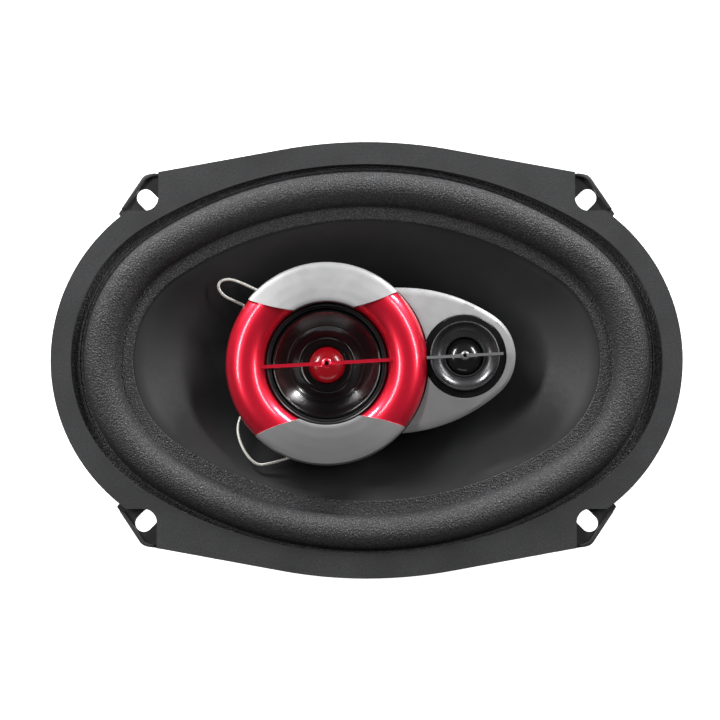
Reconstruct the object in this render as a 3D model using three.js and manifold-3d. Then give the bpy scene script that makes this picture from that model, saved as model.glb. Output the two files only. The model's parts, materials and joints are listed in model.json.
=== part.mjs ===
// An oval 6 x 9 inch three-way coaxial car speaker, lying on its magnet and facing +Z.
// Millimetres. The origin is the centre of the flat back of the yoke.
import * as THREE from 'three';
import { mergeVertices } from 'three/addons/utils/BufferGeometryUtils.js';
import Module from 'manifold-3d';

const wasm = await Module();
wasm.setup();

// ---- driving dimensions ----

// The flange outline: a side arc, a sloping ear edge, a straight top edge and a shallow top arc.
const flange = {
  halfLength: 118.5, halfWidth: 82, sideRadius: 69, sideAngle: 0.895, topRadius: 177, topReach: 32.6,
  earLow: [93.7, 55.2], earHigh: [84.9, 68.4], earTop: [76.9, 70.9], bottom: 80.8, top: 82,
};
const slot = { x: 82.5, y: 60.3, width: 6.5, length: 9.5 };
const earLip = { inset: 1.1, height: 2, from: [79.4, 56.9] };
const gasket = { thickness: 4, oval: { a: 111, b: 73.1, r: 58 }, shift: 0.5, notchX: 78.4, notchY: 56, notchRadius: 5 };

// The roll's outer edge is a four-centre oval, and every other oval is an offset of it.
const rollOval = { a: 106.4, b: 71.4, r: 56 };
const roll = { width: 13.2, height: 6.2, foam: 1.0, lipWidth: 5.2, flangeWidth: 6.5, flangeThickness: 0.6 };

const neck = { radius: 16, z: 44.5 };
const cone = { edge: -18.4, lip: -13.7, edgeZ: 80.6, thickness: 1.0, curve: 0.84 };

const bowl = { ledgeRadius: 57.5, ledgeZ: 38, padRadius: 44, padZ: 27.2, sheet: 1.2, topZ: 74, topOffset: 0.5, hole: 17 };
const windows = { angles: [24, 67], low: 44, high: 68, widths: [[30, 40], [24, 30]], corner: 4 };
const vents = { count: 8, width: 12, low: 29.4, high: 34.4 };

const yoke = { radius: 40, plate: 6, poleRadius: 14.9, poleTop: 26.5, bore: 3.6, recessRadius: 8.5, recessDepth: 3.6 };
const magnet = { outer: 45, inner: 21, bottom: 6, top: 21 };
const topPlate = { outer: 41, inner: 16.7, bottom: 21, top: 26 };
const rivet = { ring: 34, shank: 2.2, hole: 2.6, head: 4.2, headHeight: 1.8 };

const former = { inner: 15.2, outer: 15.5, bottom: 17, top: 46.5 };
const winding = { inner: 15.6, outer: 16.1, bottom: 18, top: 29 };
const spider = { inner: 15.9, outer: 56.4, flange: 50.5, z: 39.3, wave: 1.5, waves: 4, cloth: 0.6 };

const post = { base: 9, baseHeight: 3, shaft: 6, head: 11, headZ: 62, top: 66, boltHole: 2.9, screwHole: 1.7 };

// The pod stands turned on the post. Its own X axis runs through both drivers.
const pod = { turn: 3.2, shift: -0.9, midX: -15, tweeterX: 36.8, floor: 66, underside: 79, deck: 84, lobeTop: 86.5 };
const lobe = { tipX: 37.5, tipRadius: 18.4, sideX: 10.8, sideY: -34.9, sideRadius: 62 };
const midCup = { low: 21.5, high: 26.6, wall: 2, bore: 24.3 };
const tweeterCup = { radius: 16.2, bore: 14.3, low: 69.5, floor: 71.5 };
const ring = { inner: 22.9, outer: 38, skirt: 80.5, wall: 1.1, crown: 8.6 };
const cap = { arcY: 86.4, arcRadius: 67.1, gap: 0.3, thickness: 1.1 };

// Each driver's frame parts, coil and guard bar, about its own axis.
const midCoil = { inner: 8.3, outer: 9.1, low: 71.8, high: 76.4, magnet: 7.6, magnetLow: 70.1, magnetHigh: 74 };
const tweeterCoil = { inner: 5.9, outer: 6.6, low: 77, high: 82, magnet: 5.4, magnetLow: 74.3, magnetHigh: 80.3 };
const midBar = { half: 23.2, width: 1.3, low: 88.2, height: 1.0, boss: 2.1 };
const tweeterBar = { half: 14.3, width: 1.0, low: 89.9, height: 1.0, boss: 1.7 };
const capacitor = { x: 16.1, gap: 0.3, edge: 0.4 };
const lead = { diameter: 1.2, stepsPerPoint: 1.7, endGap: 3.4 };

// ---- finishes ----

const finish = (color, roughness, metalness = 0) => new THREE.MeshStandardMaterial({ color, roughness, metalness });
const finishes = {
  paintedSteel: finish(0x26282a, 0.45, 0.4), rubber: finish(0x4a4a4b, 0.8), foam: finish(0x1b1b1c, 0.95),
  paper: finish(0x1a1a1b, 0.75), ferrite: finish(0x2b2b2c, 0.7), zinc: finish(0xb5b3a8, 0.35, 0.9),
  red: finish(0xcc1428, 0.15), silver: finish(0xb8b9bb, 0.35, 0.6), barGrey: finish(0x7c7d80, 0.4),
  glossBlack: finish(0x0b0b0c, 0.12), blackPlastic: finish(0x17171a, 0.5), cloth: finish(0xc9a24c, 0.85),
  copper: finish(0xb4622e, 0.35, 0.8), aluminium: finish(0xc4c6c8, 0.3, 0.9), board: finish(0x8a5a32, 0.7),
  tin: finish(0xd2d0c6, 0.3, 0.9), sleeve: finish(0x1f3f8f, 0.4), braid: finish(0xd9d6cc, 0.5, 0.4),
};

// ---- geometry helpers ----

const degrees = THREE.MathUtils.degToRad;
const lerp = THREE.MathUtils.lerp;
const LARGE = 40;
const MEDIUM = 28;
const SMALL = 10;

// Bare positions with shared vertices and no collapsed triangles.
function welded(geometry) {
  for (const name of ['normal', 'uv']) geometry.deleteAttribute(name);
  const merged = mergeVertices(geometry, 1e-4);
  const index = merged.getIndex().array;
  const kept = [];
  for (let i = 0; i < index.length; i += 3) {
    const [a, b, c] = [index[i], index[i + 1], index[i + 2]];
    if (a !== b && b !== c && c !== a) kept.push(a, b, c);
  }
  merged.setIndex(kept);
  return merged;
}

function solidOf(geometry) {
  const position = geometry.getAttribute('position').array;
  return new wasm.Manifold(new wasm.Mesh({
    numProp: 3, vertProperties: new Float32Array(position), triVerts: new Uint32Array(geometry.getIndex().array),
  }));
}

// Joins the first pieces and cuts the second ones away.
function combined(joined, cut = []) {
  let solid = joined.map(solidOf).reduce((all, next) => all.add(next));
  for (const piece of cut) solid = solid.subtract(solidOf(piece));
  return geometryOf(solid);
}

const common = (first, second) => geometryOf(solidOf(first).intersect(solidOf(second)));

function geometryOf(solid) {
  const { vertProperties, triVerts } = solid.getMesh();
  const geometry = new THREE.BufferGeometry();
  geometry.setAttribute('position', new THREE.BufferAttribute(new Float32Array(vertProperties), 3));
  geometry.setIndex(Array.from(triVerts));
  return geometry;
}

// A closed section carried round the axis. Each section point is [reach, z, ...], its order is made
// anticlockwise, and place(point, angle) gives its plan position.
function carried(section, angles, place) {
  const area = THREE.ShapeUtils.area(section.map(([reach, z]) => new THREE.Vector2(reach, z)));
  const loop = area > 0 ? [...section] : [...section].reverse();
  loop.push(loop[0]);
  const geometry = new THREE.LatheGeometry(loop.map(([reach, z]) => new THREE.Vector2(reach, z)), angles.length);
  const position = geometry.getAttribute('position');
  for (let k = 0; k < position.count; k += 1) {
    const point = loop[k % loop.length];
    const angle = angles[Math.floor(k / loop.length) % angles.length];
    const [x, y] = place(point, angle);
    position.setXYZ(k, x, y, point[1]);
  }
  return welded(geometry);
}

const evenAngles = (count) => Array.from({ length: count }, (_, i) => (i * 2 * Math.PI) / count);

// A round turned piece: its section is [radius, z] points.
function turned(section, count = LARGE) {
  return carried(section, evenAngles(count), ([radius], angle) => [radius * Math.cos(angle), radius * Math.sin(angle)]);
}

const tube = (inner, outer, low, high, count) => turned([[inner, low], [outer, low], [outer, high], [inner, high]], count);
const disc = (radius, low, high, count) => tube(0, radius, low, high, count);

// The far radius of a four-centre oval, and the normal angle at which its two arcs meet.
function ovalArcs({ a, b, r }) {
  const reach = a - r;
  const far = (reach * reach + b * b - r * r) / (2 * (b - r));
  return { reach, far, meet: Math.atan2(far - b, reach) };
}

// The point of an oval, moved out by offset, whose outward normal has the given angle.
function ovalPoint(oval, offset, angle) {
  const { reach, far, meet } = ovalArcs(oval);
  const [c, s] = [Math.cos(angle), Math.sin(angle)];
  const onEnd = Math.abs(Math.atan2(s, Math.abs(c))) <= meet;
  const radius = (onEnd ? oval.r : far) + offset;
  const centre = onEnd ? [Math.sign(c) * reach, 0] : [0, -Math.sign(s) * (far - oval.b)];
  return [centre[0] + radius * c, centre[1] + radius * s];
}

// Normal angles spread evenly over each arc of the oval.
function ovalAngles(oval, perEnd, perSide) {
  const { meet } = ovalArcs(oval);
  const spread = (from, to, count) => Array.from({ length: count }, (_, i) => lerp(from, to, i / count));
  return [
    ...spread(-meet, meet, perEnd), ...spread(meet, Math.PI - meet, perSide),
    ...spread(Math.PI - meet, Math.PI + meet, perEnd), ...spread(Math.PI + meet, 2 * Math.PI - meet, perSide),
  ];
}

const ringAngles = ovalAngles(rollOval, 12, 10);

// An oval ring: its section is [offset, z] points.
const ovalRing = (section) => carried(section, ringAngles, ([offset], angle) => ovalPoint(rollOval, offset, angle));

// A skin between a circle (share 0) and an oval (share 1). Section points are [share * 100 + out, z, share, out].
function bridged(section, circleRadius, ovalOffset) {
  const points = section.map(([share, out, z]) => [share * 100 + out, z, share, out]);
  return carried(points, ringAngles, ([, , share, out], angle) => {
    const far = ovalPoint(rollOval, ovalOffset + out, angle);
    const length = Math.hypot(...far);
    return far.map((value) => lerp((value / length) * (circleRadius + out), value, share));
  });
}

// A flat outline, with holes, raised from low to high.
function raised(outline, low, high, holes = [], curveSegments = 8) {
  const shape = new THREE.Shape(outline);
  shape.holes = holes.map((hole) => new THREE.Path(hole));
  const geometry = new THREE.ExtrudeGeometry(shape, { depth: high - low, bevelEnabled: false, curveSegments });
  return welded(geometry.translate(0, 0, low));
}

const ovalOutline = (oval, offset, shiftY = 0) => ovalAngles(oval, 14, 14).map((angle) => {
  const [x, y] = ovalPoint(oval, offset, angle);
  return new THREE.Vector2(x, y + shiftY);
});

const circleOutline = (x, y, radius, count = SMALL) => evenAngles(count).map(
  (angle) => new THREE.Vector2(x + radius * Math.cos(angle), y + radius * Math.sin(angle)));

// A rectangle with round corners, lying on the plan.
function roundedOutline(width, height, radius, divisions = 3) {
  const [w, h] = [width / 2 - radius, height / 2 - radius];
  const path = new THREE.Path();
  path.absarc(w, h, radius, 0, Math.PI / 2);
  path.absarc(-w, h, radius, Math.PI / 2, Math.PI);
  path.absarc(-w, -h, radius, Math.PI, Math.PI * 1.5);
  path.absarc(w, -h, radius, Math.PI * 1.5, Math.PI * 2);
  return withoutRepeats(path.getPoints(divisions));
}

function withoutRepeats(points) {
  return points.filter((point, i) => point.distanceTo(points[(i + 1) % points.length]) > 1e-3);
}

const block = (size, centre) => welded(new THREE.BoxGeometry(...size).translate(...centre));

// A round wire through the given points.
function wire(points, diameter, steps) {
  const curve = new THREE.CatmullRomCurve3(points.map((p) => new THREE.Vector3(...p)), false, 'centripetal');
  const section = new THREE.Shape(circleOutline(0, 0, diameter / 2, 8));
  return welded(new THREE.ExtrudeGeometry(section, { steps, extrudePath: curve, bevelEnabled: false }));
}

function named(name, geometry, material) {
  const mesh = new THREE.Mesh(geometry, material);
  mesh.name = name;
  return mesh;
}

// ---- the frame ----

// One quarter of the flange outline, from its far end on +X to its top on +Y, mirrored to all four.
function flangeOutline() {
  const f = flange;
  const quarter = new THREE.Path();
  const topStart = Math.acos(f.topReach / f.topRadius);
  quarter.absarc(f.halfLength - f.sideRadius, 0, f.sideRadius, 0, f.sideAngle);
  quarter.lineTo(...f.earLow);
  quarter.lineTo(...f.earHigh);
  quarter.quadraticCurveTo(83.6, 70.2, 81.5, 70.3);
  quarter.lineTo(...f.earTop);
  quarter.absarc(0, f.halfWidth - f.topRadius, f.topRadius, topStart, Math.PI / 2);
  const first = quarter.getPoints(4);
  const second = first.map(({ x, y }) => new THREE.Vector2(-x, y)).reverse();
  const upper = [...first, ...second];
  const lower = upper.map(({ x, y }) => new THREE.Vector2(x, -y)).reverse();
  return withoutRepeats([...upper, ...lower]);
}

const quadrants = [[1, 1], [-1, 1], [-1, -1], [1, -1]];

// A slot along the diagonal of its own ear.
function slotOutline(sx, sy) {
  const centre = new THREE.Vector2(slot.x * sx, slot.y * sy);
  const tilt = Math.atan2(sy, sx);
  return roundedOutline(slot.length, slot.width, slot.width / 2 - 0.01, 4)
    .map((point) => point.rotateAround(new THREE.Vector2(), tilt).add(centre));
}

// The raised bead along the outer edge of one ear.
function earBead(sx, sy) {
  const low = flange.top - 0.2;
  const high = flange.top + earLip.height;
  const outer = raised(flangeOutline(), low, high);
  const inner = raised(flangeOutline(), low - 1, high + 1).translate(-earLip.inset * sx, -earLip.inset * sy, 0);
  const corner = block([60, 60, 20], [(earLip.from[0] + 30) * sx, (earLip.from[1] + 30) * sy, high]);
  return common(combined([outer], [inner]), corner);
}

// A window cutter that points outwards at the given angle.
function windowCutter(angle, [lowWidth, highWidth], low, high, corner) {
  const shape = new THREE.Shape();
  const [w0, w1] = [lowWidth / 2, highWidth / 2];
  const side = (w1 - w0) / (high - low);
  shape.moveTo(-w0 + corner, low);
  shape.lineTo(w0 - corner, low);
  shape.quadraticCurveTo(w0, low, w0 + side * corner, low + corner);
  shape.lineTo(w1 - side * corner, high - corner);
  shape.quadraticCurveTo(w1, high, w1 - corner, high);
  shape.lineTo(-w1 + corner, high);
  shape.quadraticCurveTo(-w1, high, -w1 + side * corner, high - corner);
  shape.lineTo(-w0 - side * corner, low + corner);
  shape.quadraticCurveTo(-w0, low, -w0 + corner, low);
  const geometry = new THREE.ExtrudeGeometry(shape, { depth: 110, bevelEnabled: false, curveSegments: 2 });
  const tangent = new THREE.Vector3(-Math.sin(angle), Math.cos(angle), 0);
  const up = new THREE.Vector3(0, 0, 1);
  const outward = new THREE.Vector3(Math.cos(angle), Math.sin(angle), 0);
  const start = outward.clone().multiplyScalar(35);
  return welded(geometry.applyMatrix4(new THREE.Matrix4().makeBasis(tangent, up, outward).setPosition(start)));
}

function basketShell() {
  const { sheet, ledgeRadius, padRadius } = bowl;
  const inTo = (radius) => radius - ledgeRadius;
  const section = [
    [0, inTo(bowl.hole), bowl.padZ - sheet], [0, inTo(padRadius) + sheet, bowl.padZ - sheet],
    [0, inTo(padRadius) + sheet + 2, bowl.ledgeZ - sheet], [0, sheet, bowl.ledgeZ - sheet],
    [1, sheet, bowl.topZ], [1, sheet, flange.bottom + 0.2], [1, 0, flange.bottom + 0.2],
    [1, 0, bowl.topZ + 0.6], [0, 0, bowl.ledgeZ], [0, inTo(padRadius) + 2, bowl.ledgeZ],
    [0, inTo(padRadius), bowl.padZ], [0, inTo(bowl.hole), bowl.padZ],
  ];
  return bridged(section, ledgeRadius, bowl.topOffset);
}

function basketWindows() {
  const cutters = [];
  windows.angles.forEach((angle, i) => {
    for (const turn of [angle, 180 - angle, 180 + angle, -angle]) {
      cutters.push(windowCutter(degrees(turn), windows.widths[i], windows.low, windows.high, windows.corner));
    }
  });
  return cutters;
}

function basketVents() {
  return evenAngles(vents.count).map((angle) => {
    const cutter = block([12, vents.width, vents.high - vents.low], [bowl.padRadius + 2, 0, (vents.low + vents.high) / 2]);
    return cutter.rotateZ(angle);
  });
}

const rivetSpots = [45, 135, 225, 315].map((angle) => [
  rivet.ring * Math.cos(degrees(angle)), rivet.ring * Math.sin(degrees(angle)),
]);

function basket() {
  const holes = [ovalOutline(rollOval, bowl.topOffset), ...quadrants.map(([sx, sy]) => slotOutline(sx, sy))];
  const plate = raised(flangeOutline(), flange.bottom, flange.top, holes);
  const pieces = [plate, basketShell(), ...quadrants.map(([sx, sy]) => earBead(sx, sy))];
  const rivetHoles = rivetSpots.map(([x, y]) => raised(circleOutline(x, y, rivet.hole, 8), 20, 30));
  return named('basket', combined(pieces, [...basketWindows(), ...basketVents(), ...rivetHoles]), finishes.paintedSteel);
}

// The corner of the flange that the gasket leaves bare.
function gasketNotch(sx, sy) {
  const { notchX: x, notchY: y, notchRadius: r } = gasket;
  const shape = new THREE.Path();
  shape.moveTo(x, y + 50);
  shape.lineTo(x, y + r);
  shape.absarc(x + r, y + r, r, Math.PI, Math.PI * 1.5);
  shape.lineTo(x + 60, y);
  shape.lineTo(x + 60, y + 50);
  const points = withoutRepeats(shape.getPoints(2)).map((p) => new THREE.Vector2(p.x * sx, p.y * sy));
  return raised(points, flange.top - 2, flange.top + 10);
}

function rimGasket() {
  const hole = ovalOutline(gasket.oval, 0, gasket.shift);
  const sheet = raised(flangeOutline(), flange.top, flange.top + gasket.thickness, [hole]);
  const foamRebate = raised(ovalOutline(rollOval, roll.flangeWidth + 0.2), flange.top - 1, flange.top + roll.flangeThickness);
  const notches = quadrants.map(([sx, sy]) => gasketNotch(sx, sy));
  return named('rim_gasket', combined([sheet], [foamRebate, ...notches]), finishes.rubber);
}

// ---- the cone and what holds it ----

// The height of the cone's front face at a share of the way from the neck to its edge.
const coneHeight = (share) => lerp(neck.z, cone.edgeZ, share ** cone.curve);

function wooferCone() {
  const shares = [0, 0.18, 0.42, 0.7, 1];
  const lip = cone.lip - cone.edge;
  const front = shares.map((share) => [share, 0, coneHeight(share)]);
  const back = shares.map((share) => [share, 0, coneHeight(share) - cone.thickness]).reverse();
  const section = [...front, [1, lip, cone.edgeZ], [1, lip, cone.edgeZ - cone.thickness], ...back];
  return bridged(section, neck.radius, cone.edge);
}

// The roll is a half ellipse, with a flat flange outside it and a flat lip inside it.
function foamSurround() {
  const lipTop = cone.edgeZ + 0.8;
  const flangeTop = flange.top + roll.flangeThickness;
  const middle = -roll.width / 2;
  const arch = (half, height, count) => Array.from({ length: count + 1 }, (_, i) => {
    const turn = (Math.PI * i) / count;
    const base = lerp(flangeTop, lipTop, i / count);
    return [middle + half * Math.cos(turn), base + height * Math.sin(turn)];
  });
  const outside = arch(roll.width / 2, roll.height, 8);
  const inside = arch(roll.width / 2 - roll.foam, roll.height - roll.foam, 6).slice(1, -1).reverse();
  const section = [
    [roll.flangeWidth, flange.top], [roll.flangeWidth, flangeTop], ...outside,
    [-roll.width - roll.lipWidth, lipTop], [-roll.width - roll.lipWidth, cone.edgeZ],
    [-roll.width + roll.foam, cone.edgeZ], ...inside, [-roll.foam + 0.2, flange.top],
  ];
  return named('foam_surround', ovalRing(section), finishes.foam);
}

function spiderCloth() {
  const { inner, flange: rim, outer, z, wave, waves, cloth } = spider;
  const crests = waves * 2;
  const top = Array.from({ length: crests + 1 }, (_, i) => [
    lerp(inner + 1.6, rim, i / crests), i % crests === 0 ? z : z + wave * (i % 2 ? 1 : -1),
  ]);
  const seat = bowl.ledgeZ + cloth;
  const path = [[inner, z], ...top, [rim + 1.5, seat], [outer, seat]];
  const under = path.map(([radius, height]) => [radius, height - cloth]).reverse();
  return named('spider', turned([...path, ...under], MEDIUM), finishes.cloth);
}

// Where each pair of tinsel leads passes through the cone.
const eyelets = [[-37, 15], [-43, -14]];

// The height of the cone's front face over a plan point.
function coneTopAt(x, y) {
  const polar = Math.atan2(y, x);
  const reach = Math.hypot(x, y);
  let best = { error: Infinity, rim: 0 };
  for (const angle of evenAngles(720)) {
    const far = ovalPoint(rollOval, cone.edge, angle);
    const error = Math.abs(Math.atan2(Math.sin(Math.atan2(far[1], far[0]) - polar), Math.cos(Math.atan2(far[1], far[0]) - polar)));
    if (error < best.error) best = { error, rim: Math.hypot(...far) };
  }
  return coneHeight((reach - neck.radius) / (best.rim - neck.radius));
}

function movingWoofer() {
  const holes = eyelets.map(([x, y]) => raised(circleOutline(x, y, 1.9, 8), 40, 90));
  const group = new THREE.Group();
  group.add(
    named('woofer_cone', combined([wooferCone()], holes), finishes.paper),
    named('voice_coil_former', tube(former.inner, former.outer, former.bottom, former.top), finishes.aluminium),
    named('voice_coil_winding', tube(winding.inner, winding.outer, winding.bottom, winding.top), finishes.copper),
    named('dust_ring', turned([[7.6, 44], [11, 45.6], [15, 45], [15, 45.8], [11, 46.4], [7.6, 44.8]], MEDIUM), finishes.cloth),
  );
  eyelets.forEach(([x, y], i) => {
    const z = coneTopAt(x, y);
    const eyelet = turned([[0.9, z - 2.6], [1.5, z - 2.6], [1.5, z + 2], [2.6, z + 2], [2.6, z + 2.6], [0.9, z + 2.6]], 8);
    group.add(named(`cone_eyelet_${i + 1}`, eyelet.translate(x, y, 0), finishes.tin));
  });
  return group;
}

// ---- the motor ----

function motor() {
  const y = yoke;
  const group = new THREE.Group();
  const yokeSection = [
    [y.recessRadius, 0], [y.radius - 1.5, 0], [y.radius, 1.5], [y.radius, y.plate], [y.poleRadius, y.plate],
    [y.poleRadius, y.poleTop], [y.bore, y.poleTop], [y.bore, y.recessDepth], [y.recessRadius, y.recessDepth],
  ];
  const m = magnet;
  const bevel = 1.2;
  const ferrite = [
    [m.inner, m.bottom], [m.outer - bevel, m.bottom], [m.outer, m.bottom + bevel],
    [m.outer, m.top - bevel], [m.outer - bevel, m.top], [m.inner, m.top],
  ];
  const plateHoles = [circleOutline(0, 0, topPlate.inner, LARGE), ...rivetSpots.map(([x, z]) => circleOutline(x, z, rivet.hole, 8))];
  group.add(
    named('yoke', turned(yokeSection), finishes.zinc),
    named('ferrite_magnet', turned(ferrite), finishes.ferrite),
    named('top_plate', raised(circleOutline(0, 0, topPlate.outer, LARGE), topPlate.bottom, topPlate.top, plateHoles), finishes.zinc),
  );
  rivetSpots.forEach(([x, z], i) => {
    const head = bowl.padZ;
    const section = [
      [0, topPlate.bottom + 0.3], [rivet.shank, topPlate.bottom + 0.3], [rivet.shank, head], [rivet.head, head],
      [rivet.head * 0.8, head + rivet.headHeight * 0.7], [0, head + rivet.headHeight],
    ];
    group.add(named(`basket_rivet_${i + 1}`, turned(section, 8).translate(x, z, 0), finishes.zinc));
  });
  return group;
}

function bridge() {
  const p = post;
  const group = new THREE.Group();
  const base = yoke.poleTop;
  const column = turned([
    [0, 48], [p.boltHole, 48], [p.boltHole, base], [p.base, base], [p.base, base + p.baseHeight],
    [p.shaft, base + p.baseHeight + 2], [p.shaft, p.headZ - 4], [p.head, p.headZ], [p.head, p.top],
    [p.screwHole + 0.4, p.top], [p.screwHole + 0.4, 52], [0, 52],
  ], 20);
  const bolt = turned([[0, 0.6], [5.2, 0.6], [5.2, 2.8], [2.5, 2.8], [2.5, 46], [0, 46]], SMALL);
  const screw = turned([[0, 54], [p.screwHole, 54], [p.screwHole, 68], [3.6, 68], [3.2, 70], [0, 70]], SMALL);
  group.add(
    named('bridge_post', column, finishes.blackPlastic), named('post_bolt', bolt, finishes.zinc),
    named('post_washer', tube(2.9, 7, 2.8, yoke.recessDepth, 24), finishes.zinc),
    named('pod_screw', screw, finishes.zinc),
  );
  return group;
}

// ---- the pod ----

const at = (geometry, x) => geometry.translate(x, 0, 0);

// The teardrop: a tip arc about the tweeter and two side arcs that run back to the midrange.
function lobeOutline() {
  const { tipX, tipRadius, sideX, sideY, sideRadius } = lobe;
  const meet = Math.atan2(-sideY, tipX - sideX);
  const path = new THREE.Path();
  path.absarc(tipX, 0, tipRadius, -meet, meet);
  path.absarc(sideX, sideY, sideRadius, meet, Math.PI / 2);
  path.lineTo(pod.midX, 20);
  path.lineTo(pod.midX, -20);
  path.absarc(sideX, -sideY, sideRadius, -Math.PI / 2, -meet);
  return withoutRepeats(path.getPoints(6));
}

function podBody() {
  const skirt = raised(lobeOutline(), pod.underside, pod.lobeTop);
  const deck = at(disc(ring.outer - ring.wall - 0.3, pod.underside, pod.deck), pod.midX);
  const cup = at(disc(midCup.low, pod.floor, pod.underside + 1), pod.midX);
  const flare = at(turned([[0, pod.floor], [midCup.low, pod.floor], [midCup.high, pod.underside + 1], [0, pod.underside + 1]]), pod.midX);
  const tweeterWell = at(disc(tweeterCup.radius, tweeterCup.low, pod.underside + 1, MEDIUM), pod.tweeterX);
  const overRing = at(disc(ring.outer + 0.3, pod.deck, pod.lobeTop + 5), pod.midX);
  const groove = at(tube(ring.outer - ring.wall - 0.3, ring.outer + 0.3, ring.skirt - 0.3, pod.lobeTop + 5), pod.midX);
  const cavity = at(turned([
    [0, pod.floor + midCup.wall], [midCup.low - midCup.wall, pod.floor + midCup.wall],
    [midCup.bore, pod.underside], [midCup.bore, pod.deck + 5], [0, pod.deck + 5],
  ]), pod.midX);
  const tweeterBore = at(disc(tweeterCup.bore, tweeterCup.floor, pod.lobeTop + 5, MEDIUM), pod.tweeterX);
  const screwHole = disc(2.4, pod.floor - 1, pod.floor + midCup.wall + 1, SMALL).translate(0, -pod.shift, 0);
  return combined([skirt, deck, cup, flare, tweeterWell], [overRing, groove, cavity, tweeterBore, screwHole]);
}

// The crown of the trim ring: half an ellipse between its inner and outer edges, grown by an extra height.
function ringCrown(grow, count) {
  const middle = (ring.inner + ring.outer) / 2;
  const half = (ring.outer - ring.inner) / 2;
  return Array.from({ length: count + 1 }, (_, i) => {
    const turn = (Math.PI * i) / count;
    return [middle + (half + grow) * Math.cos(turn), pod.deck + 0.6 + (ring.crown + grow) * Math.sin(turn)];
  });
}

function trimRing() {
  const { inner, outer, skirt, wall } = ring;
  return turned([
    ...ringCrown(0, 8), [inner, pod.deck], [outer - wall, pod.deck], [outer - wall, skirt], [outer, skirt],
  ]);
}

// One crescent cap: a skin over the ring, bounded by a large arc on the side of the midrange.
function crescentCap(side) {
  const outer = ringCrown(cap.gap + cap.thickness, 8).slice(1, -1);
  const inner = ringCrown(cap.gap, 8).slice(1, -1).reverse();
  const skin = turned([...outer, ...inner]);
  const window = raised(circleOutline(0, side * cap.arcY, cap.arcRadius, 72), 80, 100);
  return common(skin, window);
}

function midrange() {
  const group = new THREE.Group();
  const frame = [
    [11.6, 74.4], [14.2, 74.4], [23.9, 82], [23.9, 83.7], [21, 83.7], [22.6, 82.6], [13.6, 75.6], [11.6, 75.6],
  ];
  const seal = [[20.9, 84.5], [22.6, 84.5], [22.6, 86.2], [21.7, 87.1], [20.9, 86.2]];
  const membrane = [
    [7.3, 78.2], [10.3, 78.4], [14.6, 80.8], [19.2, 84.6], [20.6, 84.9],
    [20.6, 84.4], [19.4, 84.1], [14.8, 80.2], [10.4, 77.8], [7.3, 77.6],
  ];
  const dome = [[0, 80.9], [3.2, 80.2], [5.6, 78.9], [6.9, 77.3], [6.5, 77.0], [5.3, 78.4], [3.0, 79.7], [0, 80.3]];
  const yokeCup = [[0, 68.3], [11.1, 68.3], [11.1, 74.2], [9.8, 74.2], [9.8, 69.8], [0, 69.8]];
  const pieces = [
    ['midrange_frame', turned(frame, MEDIUM), finishes.blackPlastic],
    ['midrange_yoke', turned(yokeCup, MEDIUM), finishes.zinc],
    ['midrange_magnet', disc(midCoil.magnet, midCoil.magnetLow, midCoil.magnetHigh, MEDIUM), finishes.aluminium],
    ['midrange_seal', turned(seal, LARGE), finishes.rubber], ['midrange_cone', turned(membrane, LARGE), finishes.glossBlack],
    ['midrange_dome', turned(dome, MEDIUM), finishes.red],
    ['midrange_coil', tube(midCoil.inner, midCoil.outer, midCoil.low, midCoil.high, MEDIUM), finishes.copper],
    ['trim_ring', trimRing(), finishes.red],
    ['cap_upper', crescentCap(1), finishes.silver], ['cap_lower', crescentCap(-1), finishes.silver],
    ['midrange_bar', guardBar(midBar), finishes.red],
  ];
  for (const [name, geometry, material] of pieces) group.add(named(name, geometry, material));
  group.position.x = pod.midX;
  return group;
}

// A straight bar across a driver with a pierced boss in its middle.
function guardBar({ half, width, low, height, boss }) {
  const bar = block([2 * half, width, height], [0, 0, low + height / 2]);
  const middle = disc(boss, low - 0.5, low + height + 0.5, SMALL);
  return combined([bar, middle], [disc(boss * 0.5, low - 2, low + 4, 12)]);
}

function tweeter() {
  const group = new THREE.Group();
  const bezel = [
    [7.3, 82.6], [14, 82.6], [14, 86.5], [15.5, 86.5], [15.5, 88.8], [15.0, 89.4], [13.2, 89.4], [12.6, 88.6],
    [10.4, 86.2], [7.3, 84.6],
  ];
  const dome = [[0, 87.2], [2.8, 86.8], [5.2, 85.4], [6.8, 83.6], [6.4, 83.3], [4.9, 84.9], [2.6, 86.2], [0, 86.6]];
  const cup = [[0, 71.8], [12, 71.8], [12, 80.5], [7.4, 80.5], [7.4, 74], [0, 74]];
  const trimRingRoom = disc(ring.outer + 0.3, 80, 95).translate(pod.midX - pod.tweeterX, 0, 0);
  const pieces = [
    ['tweeter_bezel', combined([turned(bezel, MEDIUM)], [trimRingRoom]), finishes.blackPlastic],
    ['tweeter_dome', turned(dome, MEDIUM), finishes.glossBlack], ['tweeter_yoke', turned(cup, MEDIUM), finishes.zinc],
    ['tweeter_magnet', disc(tweeterCoil.magnet, tweeterCoil.magnetLow, tweeterCoil.magnetHigh, MEDIUM), finishes.aluminium],
    ['tweeter_coil', tube(tweeterCoil.inner, tweeterCoil.outer, tweeterCoil.low, tweeterCoil.high, MEDIUM), finishes.copper],
    ['tweeter_bar', guardBar(tweeterBar), finishes.barGrey],
  ];
  for (const [name, geometry, material] of pieces) group.add(named(name, geometry, material));
  group.position.x = pod.tweeterX;
  return group;
}

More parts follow.
